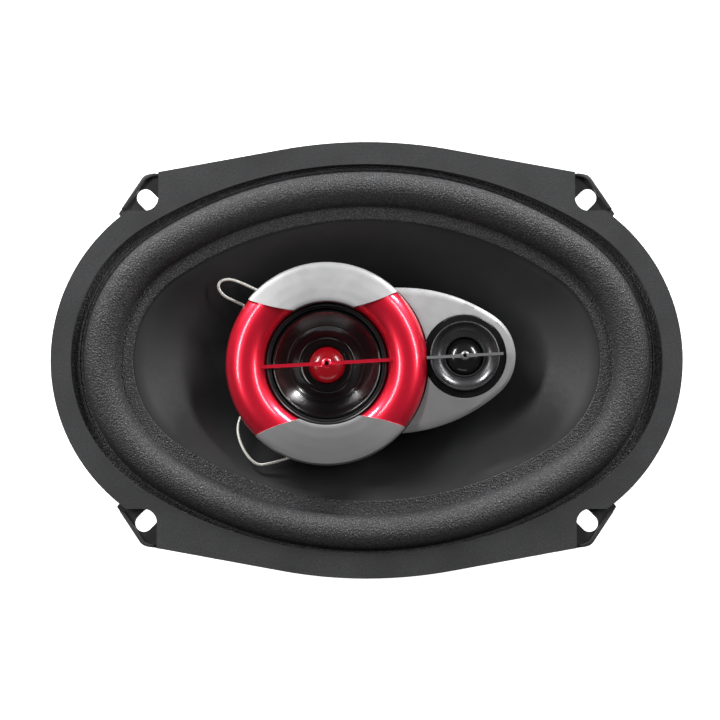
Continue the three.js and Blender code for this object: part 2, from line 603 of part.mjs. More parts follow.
// Two crossover capacitors lie crosswise under the lobe, between the two cups.
function capacitors() {
  const group = new THREE.Group();
  [['midrange_capacitor', 3.6, -13.5, -1], ['tweeter_capacitor', 3.2, 1.5, 12]].forEach(([name, radius, low, high]) => {
    const end = radius - capacitor.edge;
    const shoulders = [low + capacitor.edge, high - capacitor.edge];
    const can = turned([[0, low], [end, low], [radius, shoulders[0]], [radius, shoulders[1]], [end, high], [0, high]], SMALL);
    const mesh = named(name, can.rotateX(-Math.PI / 2), finishes.sleeve);
    mesh.position.set(capacitor.x, 0, pod.underside - capacitor.gap - radius);
    group.add(mesh);
  });
  return group;
}

function podGroup() {
  const group = new THREE.Group();
  group.add(named('pod_body', podBody(), finishes.silver), midrange(), tweeter(), capacitors());
  group.position.y = pod.shift;
  group.rotation.z = degrees(pod.turn);
  return group;
}

// ---- terminals and leads ----

// The board lies along the sloping spoke at the -X end of the basket.
const terminal = { x: -79, z: 49.5, tilt: 37.2, length: 15, width: 32, thickness: 1.6, tabs: [9, -9] };

function terminals() {
  const t = terminal;
  const group = new THREE.Group();
  const outline = roundedOutline(t.length, t.width, 2);
  const holes = [[-3, 0], [3, 0]].map(([x, y]) => circleOutline(x, y, 1.7, 12));
  group.add(named('terminal_board', raised(outline, 0, t.thickness, holes), finishes.board));
  const sizes = [['terminal_positive', 6.3], ['terminal_negative', 4.8]];
  sizes.forEach(([name, width], i) => {
    const side = Math.sign(t.tabs[i]);
    const base = block([9, width, 0.8], [-1.5, t.tabs[i], -0.7]);
    const blade = block([0.8, width, 10], [2.6, t.tabs[i], -5.7]);
    const lug = block([3, 9, 0.8], [-3, side * 13.4, -0.7]);
    group.add(named(name, combined([base, blade, lug]), finishes.tin));
  });
  [[-3, 0], [3, 0]].forEach(([x, y], i) => {
    const section = [[0, -1.2], [2.6, -1.2], [3, 0], [1.4, 0], [1.4, t.thickness], [0, t.thickness]];
    group.add(named(`terminal_rivet_${i + 1}`, turned(section, 8).translate(x, y, 0), finishes.zinc));
  });
  group.position.set(t.x, 0, t.z);
  group.rotation.y = degrees(t.tilt);
  return group;
}

// Each front lead leaves the pod's underside, loops out over the cone and comes back to its eyelet.
const leadRoutes = {
  front_lead_upper: [
    [-33, 22.5, 77.6], [-37, 24.6, 77.5], [-40.8, 26.3, 77.6], [-47.1, 29.2, 78.2], [-51.7, 30.6, 79], [-55.2, 29.8, 79.4],
    [-56, 27.5, 79], [-54, 24.6, 77.8], [-50, 22.6, 76], [-46.3, 20.9, 74], [-42, 18.8, 70.5], [-38.6, 16.2, 67.6],
  ],
  front_lead_lower: [
    [-25, -35.2, 77.4], [-28.4, -36.5, 77.4], [-31.7, -37.6, 77.6], [-36.8, -39, 78.4], [-40.8, -39.3, 79], [-44.2, -36.8, 79],
    [-47.1, -32.1, 78], [-48.6, -27, 76.2], [-48.3, -23, 74.2], [-46.6, -18.6, 71.8], [-44.4, -15.4, 70.4],
  ],
  rear_lead_positive: [
    [-80.8, 17.2, 52.8], [-80.2, 18.2, 55.8], [-76.5, 19.4, 58.6], [-70, 19.6, 58.4], [-60, 18.6, 56.2],
    [-50, 17.4, 54.8], [-42, 16, 55.4], [-38.2, 15.2, 57],
  ],
  rear_lead_negative: [
    [-80.8, -17.2, 52.8], [-80.2, -18.2, 55.8], [-76.5, -19.4, 58.6], [-70, -19, 59], [-61, -17, 57.8],
    [-52, -15.2, 57.6], [-46.4, -14.4, 58.8], [-44, -14.1, 60],
  ],
};

// Each lead ends over or under its eyelet.
const leadEnds = {
  front_lead_upper: [0, 1], front_lead_lower: [1, 1], rear_lead_positive: [0, -1], rear_lead_negative: [1, -1],
};

function leads() {
  const group = new THREE.Group();
  for (const [name, route] of Object.entries(leadRoutes)) {
    const [eyelet, side] = leadEnds[name];
    const [x, y] = eyelets[eyelet];
    const end = [x, y, coneTopAt(x, y) + side * lead.endGap];
    group.add(named(name, wire([...route, end], lead.diameter, Math.round(route.length * lead.stepsPerPoint)), finishes.braid));
  }
  return group;
}

// ---- the whole speaker ----

const speaker = new THREE.Group();
speaker.add(
  basket(), rimGasket(), foamSurround(), spiderCloth(), movingWoofer(), motor(), bridge(), podGroup(), terminals(), leads(),
);

export default speaker;
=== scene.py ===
"""The looks of an oval three-way coaxial car speaker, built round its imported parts. Lengths are in
millimetres until they reach a mesh, where MM turns them into metres."""

import json
import math

import bpy
import numpy as np
from mathutils import Matrix, Vector


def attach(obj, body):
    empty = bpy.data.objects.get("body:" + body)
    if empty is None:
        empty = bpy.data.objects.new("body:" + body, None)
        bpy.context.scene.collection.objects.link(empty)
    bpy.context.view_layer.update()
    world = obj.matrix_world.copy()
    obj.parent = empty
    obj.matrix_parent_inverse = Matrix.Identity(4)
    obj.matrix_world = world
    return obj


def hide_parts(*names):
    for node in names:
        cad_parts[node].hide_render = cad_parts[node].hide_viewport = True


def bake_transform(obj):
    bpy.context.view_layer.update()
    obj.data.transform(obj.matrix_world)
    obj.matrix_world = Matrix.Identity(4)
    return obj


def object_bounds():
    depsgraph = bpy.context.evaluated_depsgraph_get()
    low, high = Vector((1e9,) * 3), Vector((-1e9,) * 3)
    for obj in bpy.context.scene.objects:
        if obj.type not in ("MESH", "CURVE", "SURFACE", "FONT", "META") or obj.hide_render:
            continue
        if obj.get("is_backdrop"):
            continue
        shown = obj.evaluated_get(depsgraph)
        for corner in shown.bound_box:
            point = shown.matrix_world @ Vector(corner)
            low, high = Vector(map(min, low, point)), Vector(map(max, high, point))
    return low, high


MM = 0.001
METRE = 1000
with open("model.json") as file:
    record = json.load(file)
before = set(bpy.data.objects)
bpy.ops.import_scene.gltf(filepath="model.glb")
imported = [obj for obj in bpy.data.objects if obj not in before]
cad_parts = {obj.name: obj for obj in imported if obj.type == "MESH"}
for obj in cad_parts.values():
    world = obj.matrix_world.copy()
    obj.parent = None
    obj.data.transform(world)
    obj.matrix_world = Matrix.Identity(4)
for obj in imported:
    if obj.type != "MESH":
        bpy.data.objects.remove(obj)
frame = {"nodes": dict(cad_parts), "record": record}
cad_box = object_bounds()
bpy.ops.object.select_all(action="DESELECT")


# ---- camera and light ----

def camera():
    data = bpy.data.cameras.new("camera")
    data.lens = 120
    data.sensor_width = 36
    seen_width = 269.8 * MM
    distance = seen_width * data.lens / data.sensor_width
    target = Vector((-2.5, -0.3, 86)) * MM
    tilt = math.radians(3.2)
    eye = bpy.data.objects.new("camera", data)
    eye.location = target + distance * Vector((0, -math.sin(tilt), math.cos(tilt)))
    eye.rotation_euler = (tilt, 0, 0)
    bpy.context.scene.collection.objects.link(eye)
    bpy.context.scene.camera = eye


def softbox(name, place, aim, size, power):
    data = bpy.data.lights.new(name, "AREA")
    data.shape = "RECTANGLE"
    data.size, data.size_y = size[0] * MM, size[1] * MM
    data.energy = power
    lamp = bpy.data.objects.new(name, data)
    lamp.location = Vector(place) * MM
    lamp.rotation_euler = (Vector(aim) * MM - lamp.location).to_track_quat("-Z", "Y").to_euler()
    bpy.context.scene.collection.objects.link(lamp)


def studio():
    """Two boxes beyond the upper long side, one beyond each end and a weak strip below."""
    softbox("key_left", (-520, 690, 270), (-20, 0, 84), (300, 150), 9.6)
    softbox("key_right", (500, 690, 270), (20, 0, 84), (280, 150), 9.0)
    softbox("side_left", (-540, 190, 690), (0, 0, 84), (560, 90), 3.3)
    softbox("side_right", (560, 270, 640), (0, 0, 84), (520, 90), 3.0)
    softbox("low_strip", (-80, -700, 420), (0, 0, 84), (520, 80), 0.15)
    room_light, backdrop = 0.06, 0.92
    world = bpy.data.worlds.new("studio")
    world.use_nodes = True
    tree = world.node_tree
    background = tree.nodes["Background"]
    background.inputs["Color"].default_value = (1, 1, 1, 1)
    rays = tree.nodes.new("ShaderNodeLightPath")
    strength = tree.nodes.new("ShaderNodeMapRange")
    strength.inputs["To Min"].default_value = room_light
    strength.inputs["To Max"].default_value = backdrop
    tree.links.new(rays.outputs["Is Camera Ray"], strength.inputs["Value"])
    tree.links.new(strength.outputs["Result"], background.inputs["Strength"])
    bpy.context.scene.world = world
    bpy.context.scene.view_settings.view_transform = "Standard"


# ---- finishes ----

FINISHES = {}


def new_finish(name, colour, roughness, metallic=0.0, coat=0.0, coat_roughness=0.03, sheen=0.0,
               specular=0.5):
    """A material on plain shader values, kept under its name."""
    material = bpy.data.materials.new(name)
    material.use_nodes = True
    FINISHES[name] = material
    shader = material.node_tree.nodes["Principled BSDF"]
    values = {
        "Base Color": (*colour, 1), "Roughness": roughness, "Metallic": metallic, "Coat Weight": coat,
        "Coat Roughness": coat_roughness, "Sheen Weight": sheen, "Specular IOR Level": specular,
    }
    for socket, value in values.items():
        shader.inputs[socket].default_value = value
    return material.node_tree, shader


def node(tree, kind, **settings):
    """A new node, with settings that are its own or its sockets'."""
    made = tree.nodes.new(kind)
    for key, value in settings.items():
        if hasattr(made, key):
            setattr(made, key, value)
        else:
            made.inputs[key].default_value = value
    return made


def place_on(tree):
    return tree.nodes.new("ShaderNodeTexCoord").outputs["Object"]


def noise(tree, vector, grain_mm, detail=3.0, roughness=0.55):
    made = node(tree, "ShaderNodeTexNoise", Scale=METRE / grain_mm, Detail=detail, Roughness=roughness)
    tree.links.new(vector, made.inputs["Vector"])
    return made.outputs["Fac"]


def ranged(tree, value, low, high, from_low=0.3, from_high=0.7):
    limits = {"From Min": from_low, "From Max": from_high, "To Min": low, "To Max": high}
    made = node(tree, "ShaderNodeMapRange", **limits)
    tree.links.new(value, made.inputs["Value"])
    return made.outputs["Result"]


def ramp(tree, value, *stops):
    made = tree.nodes.new("ShaderNodeValToRGB")
    for element, (position, colour) in zip(made.color_ramp.elements, stops):
        element.position = position
        element.color = (*colour, 1)
    tree.links.new(value, made.inputs["Fac"])
    return made.outputs["Color"]


def tinted(colour, factor):
    return tuple(min(1.0, c * factor) for c in colour)


def shaded(tree, shader, value, colour, low, high, start=0.3, stop=0.7):
    """The colour runs from its low tint to its high tint as the value goes from start to stop."""
    shades = ramp(tree, value, (start, tinted(colour, low)), (stop, tinted(colour, high)))
    tree.links.new(shades, shader.inputs["Base Color"])


def glossed(tree, shader, value, *limits):
    """The roughness follows the value, between the limits that ranged() takes."""
    tree.links.new(ranged(tree, value, *limits), shader.inputs["Roughness"])


def bump(tree, shader, height, depth_mm, strength=1.0, under=None):
    made = node(tree, "ShaderNodeBump", Distance=depth_mm * MM, Strength=strength)
    tree.links.new(height, made.inputs["Height"])
    if under is not None:
        tree.links.new(under, made.inputs["Normal"])
    tree.links.new(made.outputs["Normal"], shader.inputs["Normal"])
    return made.outputs["Normal"]


def grained(name, colour, roughness, grain_mm, depth_mm, tone=0.12, swing=0.06, **more):
    """A moulded or painted surface: a fine grain, slow colour drift and uneven gloss."""
    tree, shader = new_finish(name, colour, roughness, **more)
    vector = place_on(tree)
    shaded(tree, shader, noise(tree, vector, 14, 4), colour, 1 - tone, 1 + tone)
    glossed(tree, shader, noise(tree, vector, 5, 4), roughness - swing, roughness + swing)
    bump(tree, shader, noise(tree, vector, grain_mm, 2), depth_mm)


def orange_peel(tree, shader, vector):
    bump(tree, shader, noise(tree, vector, 2.5, 2), 0.004)


def lacquer(name, colour, roughness, tone=0.06, coat=1.0):
    """Glossy paint under a clear coat, with the faintest orange peel."""
    tree, shader = new_finish(name, colour, roughness, coat=coat, coat_roughness=0.09)
    vector = place_on(tree)
    shaded(tree, shader, noise(tree, vector, 0.25, 2), colour, 1 - tone, 1 + tone, 0.35, 0.65)
    orange_peel(tree, shader, vector)


def candy_paint(name, colour, roughness, painted_shade_top_z=88.0, painted_shade_height=4.5):
    """Deep glossy paint over a metallic ground, under a clear coat, with painted shade that darkens the
    colour to near black down the skirt.
    """
    tree, shader = new_finish(name, colour, roughness, metallic=0.68, coat=1.0, coat_roughness=0.15)
    vector = place_on(tree)
    flake = noise(tree, vector, 0.2, 2)
    shades = ramp(tree, flake, (0.35, tinted(colour, 0.9)), (0.65, tinted(colour, 1.08)))
    height = tree.nodes.new("ShaderNodeSeparateXYZ")
    tree.links.new(vector, height.inputs["Vector"])
    # painted shade: below the given height the colour is multiplied down to 0.12, standing in for the shade
    # on the ring's skirt
    depth = ranged(tree, height.outputs["Z"], 0.12, 1.0, (painted_shade_top_z - painted_shade_height) * MM, painted_shade_top_z * MM)
    mixed = node(tree, "ShaderNodeMix", data_type="RGBA", blend_type="MULTIPLY")
    factor, first, second = mixed.inputs[0], mixed.inputs[6], mixed.inputs[7]
    factor.default_value = 1
    tree.links.new(shades, first)
    tree.links.new(depth, second)
    tree.links.new(mixed.outputs[2], shader.inputs["Base Color"])
    glossed(tree, shader, flake, roughness - 0.03, roughness + 0.05)
    orange_peel(tree, shader, vector)


def turned_metal(name, colour, roughness, rings_scale=480):
    """Plated steel with the fine rings of a lathe tool, round the Z axis."""
    tree, shader = new_finish(name, colour, roughness, metallic=1.0)
    vector = place_on(tree)
    rings = node(tree, "ShaderNodeTexWave", wave_type="RINGS", rings_direction="Z",
                 Scale=rings_scale, Distortion=1.5, Detail=2)
    tree.links.new(vector, rings.inputs["Vector"])
    stain = noise(tree, vector, 9, 5)
    shaded(tree, shader, stain, colour, 0.78, 1.1)
    glossed(tree, shader, stain, roughness - 0.08, roughness + 0.12)
    bump(tree, shader, rings.outputs["Fac"], 0.01, 0.5)


def open_foam(name, colour, cell_mm=0.75):
    """Black polyurethane foam: open cells, with pale specks painted in as highlights on lit cell walls."""
    tree, shader = new_finish(name, colour, 0.55)
    vector = place_on(tree)
    cells = node(tree, "ShaderNodeTexVoronoi", feature="F1", Scale=METRE / cell_mm)
    tree.links.new(vector, cells.inputs["Vector"])
    fine = noise(tree, vector, 0.5, 3, 0.7)
    # painted highlight: pale specks up to six times the base colour
    shaded(tree, shader, fine, colour, 1, 6, 0.5, 0.7)
    glossed(tree, shader, fine, 0.7, 0.42, 0.4, 0.62)
    under = bump(tree, shader, cells.outputs["Distance"], 0.3, 0.9)
    bump(tree, shader, fine, 0.22, 0.9, under)


def die_cut_rubber(name, colour):
    """Closed-cell gasket rubber: a fine pebble with dust in it."""
    tree, shader = new_finish(name, colour, 0.76, specular=0.3, sheen=0.04)
    vector = place_on(tree)
    pebble = noise(tree, vector, 0.7, 3)
    drift = noise(tree, vector, 22, 4)
    mixed = node(tree, "ShaderNodeMath", operation="MULTIPLY")
    tree.links.new(pebble, mixed.inputs[0])
    tree.links.new(drift, mixed.inputs[1])
    shaded(tree, shader, mixed.outputs[0], colour, 0.72, 1.3, 0.12, 0.4)
    glossed(tree, shader, drift, 0.64, 0.8)
    bump(tree, shader, pebble, 0.05, 0.8)


def coated_cone(name, colour):
    """Black cone with a satin coat and the faint felting of its pulp."""
    tree, shader = new_finish(name, colour, 0.52, specular=0.42)
    vector = place_on(tree)
    felt = noise(tree, vector, 1.1, 4, 0.65)
    shaded(tree, shader, noise(tree, vector, 30, 3), colour, 0.85, 1.18, 0.35, 0.65)
    glossed(tree, shader, felt, 0.46, 0.58)
    bump(tree, shader, felt, 0.03, 0.35)


def bands(tree, vector, direction, step_mm):
    """Stripes across one axis, about two steps apart."""
    scale = METRE / (step_mm * 2 * math.pi)
    wave = node(tree, "ShaderNodeTexWave", bands_direction=direction, Scale=scale)
    tree.links.new(vector, wave.inputs["Vector"])
    return wave.outputs["Fac"]


def woven(name, colour, thread_mm, sheen=0.2):
    """Plain-woven cloth: threads across X and Y, stiffened with resin."""
    tree, shader = new_finish(name, colour, 0.8, sheen=sheen)
    vector = place_on(tree)
    weave = node(tree, "ShaderNodeMath", operation="MAXIMUM")
    for socket, direction in zip(weave.inputs, "XY"):
        tree.links.new(bands(tree, vector, direction, 2 * thread_mm), socket)
    shaded(tree, shader, weave.outputs[0], colour, 0.45, 1.15, 0.2, 0.9)
    bump(tree, shader, weave.outputs[0], 0.08)


def wound_wire(name, colour, wire_mm=0.3):
    """Close turns of enamelled wire round the Z axis."""
    tree, shader = new_finish(name, colour, 0.28, metallic=0.9, coat=0.6)
    turns = bands(tree, place_on(tree), "Z", wire_mm)
    shaded(tree, shader, turns, colour, 0.35, 1, 0.1, 0.8)
    bump(tree, shader, turns, 0.06)


def braid(name, colour):
    """Bright tinsel threads with dark gaps between them."""
    tree, shader = new_finish(name, colour, 0.42, metallic=0.2)
    fine = noise(tree, place_on(tree), 0.22, 2)
    shaded(tree, shader, fine, colour, 0.5, 1.12, 0.36, 0.6)
    bump(tree, shader, fine, 0.05)


def sleeve(name, colour, patch):
    """Shrink sleeve on a capacitor, in two uneven shades."""
    tree, shader = new_finish(name, colour, 0.3, coat=0.3)
    drift = noise(tree, place_on(tree), 3, 3)
    shades = ramp(tree, drift, (0.3, tinted(colour, 0.8)), (0.7, patch))
    tree.links.new(shades, shader.inputs["Base Color"])
    bump(tree, shader, drift, 0.02)


grained("painted_steel", (0.055, 0.055, 0.058), 0.4, 0.5, 0.02, metallic=0.3, specular=0.35)
die_cut_rubber("gasket_rubber", (0.036, 0.0365, 0.038))
open_foam("foam", (0.0155, 0.0155, 0.0165))
woven("spider_cloth", (0.5, 0.3, 0.09), 0.5)
coated_cone("cone_paper", (0.019, 0.0192, 0.02))
woven("felt", (0.02, 0.02, 0.021), 0.35, 0.6)
grained("aluminium", (0.75, 0.76, 0.77), 0.3, 0.6, 0.01, metallic=1.0)
wound_wire("copper_wire", (0.6, 0.22, 0.08))
grained("tin_plate", (0.66, 0.64, 0.58), 0.3, 0.8, 0.01, metallic=1.0)
turned_metal("zinc_plate", (0.42, 0.4, 0.35), 0.34)
grained("ferrite", (0.022, 0.022, 0.024), 0.66, 0.35, 0.05, tone=0.25, specular=0.35)
grained("black_plastic", (0.014, 0.014, 0.015), 0.45, 0.4, 0.02)
grained("screw_steel", (0.52, 0.51, 0.48), 0.3, 1.2, 0.01, metallic=1.0)
grained("neodymium", (0.7, 0.7, 0.7), 0.18, 2.0, 0.005, metallic=1.0)
grained("seal_rubber", (0.01, 0.01, 0.011), 0.35, 0.6, 0.01)
lacquer("gloss_black", (0.002, 0.002, 0.0024), 0.2, coat=0.35)
candy_paint("gloss_red", (0.98, 0.012, 0.045), 0.33)
lacquer("dome_red", (0.5, 0.003, 0.012), 0.26)
grained("satin_silver", (0.37, 0.37, 0.375), 0.4, 0.35, 0.012, tone=0.05, metallic=0.35)
grained("bezel_black", (0.006, 0.006, 0.0065), 0.3, 0.5, 0.008)
grained("dish_satin", (0.1, 0.1, 0.104), 0.3, 0.5, 0.008, metallic=0.75)
lacquer("dome_black", (0.008, 0.008, 0.009), 0.2)
grained("bar_grey", (0.2, 0.2, 0.205), 0.3, 0.5, 0.008, metallic=0.3)
sleeve("capacitor_sleeve", (0.01, 0.025, 0.16), (0.02, 0.05, 0.3))
grained("fibre_board", (0.22, 0.1, 0.045), 0.55, 0.9, 0.02, tone=0.3)
braid("tinsel_braid", (0.86, 0.84, 0.78))


# ---- shared sizes, as the CAD parts have them ----

ROLL_OVAL = (106.4, 71.4, 56.0)
GASKET_OVAL = (111.0, 73.1, 58.0)
FLANGE_LOW, FLANGE_TOP = 80.8, 82.0
CONE_EDGE, CONE_LIP, CONE_EDGE_Z, CONE_CURVE = -18.4, -13.7, 80.6, 0.84
NECK_RADIUS, NECK_Z = 16.0, 44.5
ROLL_WIDTH, ROLL_HEIGHT, LIP_WIDTH, FOAM_FLANGE = 13.2, 6.2, 5.2, 6.5
LEDGE_RADIUS, LEDGE_Z, PAD_RADIUS, PAD_Z, SHEET = 57.5, 38.0, 44.0, 27.2, 1.2
BOWL_TOP_Z, BOWL_OFFSET, PAD_HOLE = 74.0, 0.5, 17.0
POD_TURN, POD_SHIFT, MID_X, TWEETER_X = 3.2, -0.9, -15.0, 36.8
RING_INNER, RING_OUTER, RING_Z, RING_CROWN = 22.9, 38.0, 84.6, 6.9
RING_MIDDLE, RING_HALF = (RING_INNER + RING_OUTER) / 2, (RING_OUTER - RING_INNER) / 2
TIP_X = 37.5
EYELETS = [(-37, 15), (-43, -14)]
TERMINAL_AT, TERMINAL_TILT = (-79, 0, 49.5), 37.2
RIVET_CIRCLE, RIVET_HOLE, RIVET_ANGLES = 34, 2.6, (45, 135, 225, 315)
SLOT_X, SLOT_Y, SLOT_RADIUS = 82.5, 60.3, 3.25
QUADRANTS = [(1, 1), (-1, 1), (-1, -1), (1, -1)]


def lerp(a, b, share):
    return a + (b - a) * share


def smooth(share):
    share = np.clip(share, 0, 1)
    return share * share * (3 - 2 * share)


def oval_arcs(oval):
    a, b, radius = oval
    reach = a - radius
    far = (reach ** 2 + b ** 2 - radius ** 2) / (2 * (b - radius))
    return reach, far, math.atan2(far - b, reach)


def oval_point(oval, offset, angle):
    """The point of an offset four-centre oval whose outward normal has the given angle."""
    reach, far, meet = oval_arcs(oval)
    c, s = math.cos(angle), math.sin(angle)
    if abs(math.atan2(s, abs(c))) <= meet:
        return math.copysign(reach, c) + (oval[2] + offset) * c, (oval[2] + offset) * s
    return (far + offset) * c, -math.copysign(far - oval[1], s) + (far + offset) * s


def oval_outline(oval, offset, count):
    return [oval_point(oval, offset, 2 * math.pi * k / count) for k in range(count)]


def oval_offset(oval, x, y):
    """How far a point lies outside the oval."""
    reach, far, meet = oval_arcs(oval)
    end = math.atan2(abs(y), abs(x) - reach)
    if end <= meet:
        return math.hypot(abs(x) - reach, y) - oval[2]
    return math.hypot(x, abs(y) + far - oval[1]) - far


def cone_height(share):
    return lerp(NECK_Z, CONE_EDGE_Z, max(share, 0) ** CONE_CURVE)


def rim_reach(angle):
    """How far the cone's edge is from the axis, in a direction."""
    low, high = 0.0, 130.0
    halvings = 30
    for _ in range(halvings):
        middle = (low + high) / 2
        outside = oval_offset(ROLL_OVAL, middle * math.cos(angle), middle * math.sin(angle)) > CONE_EDGE
        low, high = (low, middle) if outside else (middle, high)
    return low


def cone_top_at(x, y):
    reach = math.hypot(x, y)
    return cone_height((reach - NECK_RADIUS) / (rim_reach(math.atan2(y, x)) - NECK_RADIUS))


# ---- shaping ----

def only(*objects):
    bpy.ops.object.select_all(action="DESELECT")
    for item in objects:
        item.select_set(True)
    bpy.context.view_layer.objects.active = objects[0]


def in_edit(item, *steps):
    """Runs edit-mode steps on one piece, with all of it selected first."""
    only(item)
    bpy.ops.object.mode_set(mode="EDIT")
    bpy.ops.mesh.select_all(action="SELECT")
    for step in steps:
        step()
    bpy.ops.object.mode_set(mode="OBJECT")


def primitive(name, add, **settings):
    """A new primitive at the origin, with nothing else selected."""
    bpy.ops.object.select_all(action="DESELECT")
    add(location=(0, 0, 0), **settings)
    item = bpy.context.object
    item.name = item.data.name = name
    return item


def merge():
    bpy.ops.mesh.remove_doubles(threshold=1e-6)


def face_outwards():
    bpy.ops.mesh.normals_make_consistent(inside=False)


def apply_modifiers(item):
    only(item)
    for modifier in list(item.modifiers):
        bpy.ops.object.modifier_apply(modifier=modifier.name)


def smoothed(item, angle=35):
    only(item)
    bpy.ops.object.shade_smooth_by_angle(angle=math.radians(angle))
    return item


def bevelled(item, width, segments=2, angle=38):
    modifier = item.modifiers.new("bevel", "BEVEL")
    modifier.width = width * MM
    modifier.segments = segments
    modifier.limit_method = "ANGLE"
    modifier.angle_limit = math.radians(angle)
    modifier.harden_normals = False
    apply_modifiers(item)
    return smoothed(item)


def carved(item, *cutters, operation="DIFFERENCE"):
    for cutter in cutters:
        modifier = item.modifiers.new("carve", "BOOLEAN")
        modifier.operation = operation
        modifier.object = cutter
        modifier.solver = "EXACT"
        apply_modifiers(item)
        bpy.data.objects.remove(cutter)
    return item


def carried(name, section, count, place, closed=True):
    """A section carried round the Z axis: a circle extruded once for each section point, each row
    then set to its own place. place(point, angle) gives x, y and z in millimetres."""
    rows = [*section, section[0]] if closed else section
    bpy.context.scene.tool_settings.mesh_select_mode = (True, False, False)
    item = primitive(name, bpy.ops.mesh.primitive_circle_add, vertices=count, radius=1)
    bpy.ops.object.mode_set(mode="EDIT")
    bpy.ops.mesh.select_all(action="SELECT")
    for _ in range(len(rows) - 1):
        bpy.ops.mesh.extrude_region_move(TRANSFORM_OT_translate={"value": (0, 0, 1)})
    bpy.ops.object.mode_set(mode="OBJECT")
    co = np.zeros(len(item.data.vertices) * 3)
    item.data.vertices.foreach_get("co", co)
    co = co.reshape(-1, 3)
    row = np.rint(co[:, 2]).astype(int)
    column = np.rint(np.arctan2(co[:, 1], co[:, 0]) * count / (2 * math.pi)).astype(int) % count
    turns = [2 * math.pi * k / count for k in range(count)]
    grid = np.array([[place(point, turn) for turn in turns] for point in rows])
    item.data.vertices.foreach_set("co", (grid[row, column] * MM).ravel())
    item.data.update()
    in_edit(item, merge, face_outwards)
    return item


def turned(name, section, count=96):
    """A round piece whose section is [radius, z] points."""
    return carried(name, section, count, lambda p, a: (p[0] * math.cos(a), p[0] * math.sin(a), p[1]))


def oval_ring(name, section, count):
    """A ring along the roll's oval, whose section is [offset, z] points."""
    return carried(name, section, count, lambda p, a: (*oval_point(ROLL_OVAL, p[0], a), p[1]))


def bridged(name, section, count, radius, offset):
    """A skin from a circle (share 0) to an oval (share 1), whose section is [share, out, z] points."""
    def place(point, angle):
        share, out, z = point
        x, y = oval_point(ROLL_OVAL, offset + out, angle)
        reach = math.hypot(x, y)
        scale = lerp((radius + out) / reach, 1, share)
        return x * scale, y * scale, z
    return carried(name, section, count, place)


def raised(name, outline, low, high):
    """A flat outline of [x, y] points, filled and raised from low to high."""
    circle_add = bpy.ops.mesh.primitive_circle_add
    item = primitive(name, circle_add, vertices=len(outline), radius=1, fill_type="NGON")
    for vertex, (x, y) in zip(item.data.vertices, outline):
        vertex.co = Vector((x, y, low)) * MM

    def rise():
        bpy.ops.mesh.extrude_region_move(TRANSFORM_OT_translate={"value": (0, 0, (high - low) * MM)})
        bpy.ops.mesh.select_all(action="SELECT")

    in_edit(item, rise, face_outwards)
    return item


def by(x=0.0, y=0.0, z=0.0):
    """The matrix of a move in millimetres."""
    return Matrix.Translation(Vector((x, y, z)) * MM)


def turn_about(axis, degrees):
    return Matrix.Rotation(math.radians(degrees), 4, axis)


def block(name, size, centre):
    item = primitive(name, bpy.ops.mesh.primitive_cube_add, size=1)
    item.data.transform(by(*centre) @ Matrix.Diagonal((*[s * MM for s in size], 1)))
    return item


def moved(item, matrix):
    item.data.transform(matrix)
    item.data.update()
    return item


def shifted(item, x=0.0, y=0.0, z=0.0):
    return moved(item, by(x, y, z))


def on_pod(item, x=0.0):
    """Puts a piece made about a driver's own axis in its place on the turned pod."""
    return moved(item, by(y=POD_SHIFT) @ turn_about("Z", POD_TURN) @ by(x))


def joined(name, *items):
    only(*items)
    bpy.ops.object.join()
    item = bpy.context.object
    item.name = item.data.name = name
    return item


def around(x, y, radius, turns):
    return [(x + radius * math.cos(turn), y + radius * math.sin(turn)) for turn in turns]


def circle(x, y, radius, count=24):
    return around(x, y, radius, [2 * math.pi * k / count for k in range(count)])


def arc(x, y, radius, start, stop, count):
    return around(x, y, radius, [lerp(start, stop, k / count) for k in range(count + 1)])


def thinned(points, least=0.02):
    """Drops a point that lies on the one before it."""
    return [p for k, p in enumerate(points) if math.dist(p, points[k - 1]) > least]


def dressed(item, slot, body, *nodes, finish=None):
    """Gives a finished piece its material, its body and the nodes that it stands for."""
    item.data.materials.clear()
    item.data.materials.append(FINISHES[finish or slot])
    if body:
        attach(item, body)
    if nodes:
        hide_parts(*nodes)
    return item


def lathed(name, section, slot, body, *nodes, count=96, angle=35, x=None, finish=None):
    """A finished round piece. x puts it on the pod, at that place along it."""
    piece = smoothed(turned(name, section, count), angle)
    if x is not None:
        on_pod(piece, x)
    return dressed(piece, slot, body, *nodes, finish=finish)


# ---- the frame ----

def flange_outline(side_angle=0.895, ear=((93.7, 55.2),)):
    """An arc round each end, an ear at each corner and a long arc on each side."""
    side_radius, side_start = 177, 32.6
    quarter = arc(49.5, 0, 69, 0, side_angle, 26)
    quarter += [*ear, (85.2, 67.9), (84.5, 68.9), (83.4, 69.7), (82, 70.15), (76.9, 70.9)]
    quarter += arc(0, -95, side_radius, math.acos(side_start / side_radius), math.pi / 2, 14)
    upper = quarter + [(-x, y) for x, y in reversed(quarter)]
    return thinned(upper + [(x, -y) for x, y in reversed(upper)])


def slot_outline(sx, sy):
    half = 1.5
    tilt = math.atan2(sy, sx)
    ends = arc(half, 0, SLOT_RADIUS, -math.pi / 2, math.pi / 2, 14)
    ends += arc(-half, 0, SLOT_RADIUS, math.pi / 2, math.pi * 1.5, 14)
    c, s = math.cos(tilt), math.sin(tilt)
    return [(SLOT_X * sx + x * c - y * s, SLOT_Y * sy + x * s + y * c) for x, y in ends]


def ear_bead(sx, sy):
    """The turned-up edge of one ear, with the groove inside it."""
    outline = flange_outline()
    wall, height = 1.1, 2
    bead = raised("bead", outline, FLANGE_TOP - 0.6, FLANGE_TOP + height)
    inside = [(x - wall * sx, y - wall * sy) for x, y in outline]
    inner = raised("inner", inside, FLANGE_TOP - 2, FLANGE_TOP + 4)
    corner = block("corner", (60, 60, 20), (109.4 * sx, 86.9 * sy, FLANGE_TOP))
    carved(bead, inner)
    return carved(bead, corner, operation="INTERSECT")


